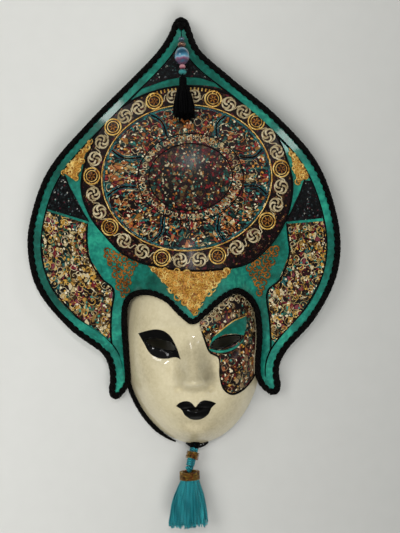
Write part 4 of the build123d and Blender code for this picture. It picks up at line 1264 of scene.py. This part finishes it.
dress(tiedKnot("peakKnotTied", "peak_knot", 1.15, 1.1, 1.15), blackBraid, "mask", "black_cord", "peak_knot")
eyeRing = smooth(added(bpy.ops.mesh.primitive_torus_add, major_radius=0.0011, minor_radius=0.0005,
                       major_segments=24, minor_segments=8, location=pendant["pivot"] / 1000,
                       rotation=(0, math.pi / 2, 0)))
eyeRing.name = "pendantEyeRing"
dress(eyeRing, blackThread, "pendant_ring", "black_thread", "pendant_eye")
chinKnot = tiedKnot("chinKnotTied", "chin_tassel_knot", 1.05, 1.8, 0.95)
dress(chinKnot, tealThread, "chin_knot", "teal_thread", "chin_tassel_knot")
print("tassels and knots done")

# Wall behind, seen and shaded from the front only, with painted shade: its colour a little darker to the
# right and below, as if lit from the upper left
# Matt emulsion paint on plaster: grey-white, no shine, with the painted shade mixed into its colour
wallMaterial, add = newMaterial("matteWallPaint")
spots = (add("TexCoord"), "Object")
plaster = add("TexNoise", {"Scale": 60.0, "Detail": 6.0}, {"Vector": spots})
sides = add("SeparateXYZ", {}, {"Vector": spots})
# Painted shade: the wall colour darkens towards the right and towards the bottom
fall = add("Math", {"operation": "MULTIPLY_ADD", 1: -0.35}, {0: (sides, "Z"), 2: (sides, "X")})
shade = add("MapRange", {"From Min": -0.05, "From Max": 0.5, "To Min": 0.0, "To Max": 0.9}, {"Value": fall})
tone = add("Math", {"operation": "MULTIPLY_ADD", 1: 0.1}, {0: (plaster, "Fac"), 2: shade})
paint = add("ValToRGB", {"ramp": [(0.0, "#D3D3CE"), (1.0, "#A2A29E")]}, {"Fac": tone})
shader = add("BsdfPrincipled", {"Roughness": 0.9}, {"Base Color": paint})
clear = add("BsdfTransparent")
sideOf = add("NewGeometry")
oneSided = add("MixShader", {}, {"Fac": (sideOf, "Backfacing")})
for number, source in ((1, shader), (2, clear)):
    wallMaterial.node_tree.links.new(source.outputs[0], oneSided.inputs[number])
closeMaterial(wallMaterial, oneSided)
backWall = added(bpy.ops.mesh.primitive_plane_add, size=6, location=(0, 0.004, -0.26),
                 rotation=(math.pi / 2, 0, 0))
backWall.name = "backWall"
backWall.data.materials.append(wallMaterial)

# Lamps: two large soft ones that glossy pieces don't mirror, and smaller ones that they do
aim = Vector((0, 0, -0.25))
lamps = {
    "softKey": {"place": (-1.3, -2.0, 0.0), "size": 1.2, "power": 21, "mirrored": False},
    "windowFill": {"place": (0.2, -1.8, -1.3), "size": 1.4, "power": 27, "mirrored": False},
    "frontGlint": {"place": (0.06, -1.7, 0.28), "size": 0.16, "power": 5, "mirrored": True},
    "ceilingGlint": {"place": (-0.7, -1.0, 0.7), "size": 0.25, "power": 2.5, "mirrored": True},
    "windowGlint": {"place": (1.0, -1.1, 0.35), "size": 0.25, "power": 2, "mirrored": True},
    "backGlow": {"place": (0.6, 1.6, 0.5), "size": 1.5, "power": 12, "mirrored": True},
}
for name, lamp in lamps.items():
    data = bpy.data.lights.new(name, "AREA")
    data.size = lamp["size"]
    data.energy = lamp["power"]
    piece = newPiece(name, data)
    piece.location = lamp["place"]
    piece.visible_glossy = lamp["mirrored"]
    piece.rotation_euler = (aim - Vector(lamp["place"])).to_track_quat("-Z", "Y").to_euler()
world = bpy.data.worlds.new("studio")
world.use_nodes = True
sky = world.node_tree.nodes["Background"].inputs
sky["Color"].default_value = linear("#E4E6E6")
sky["Strength"].default_value = 0.12
bpy.context.scene.world = world
bpy.context.scene.view_settings.view_transform = "Standard"
print("wall and lamps done")

bpy.context.view_layer.update()
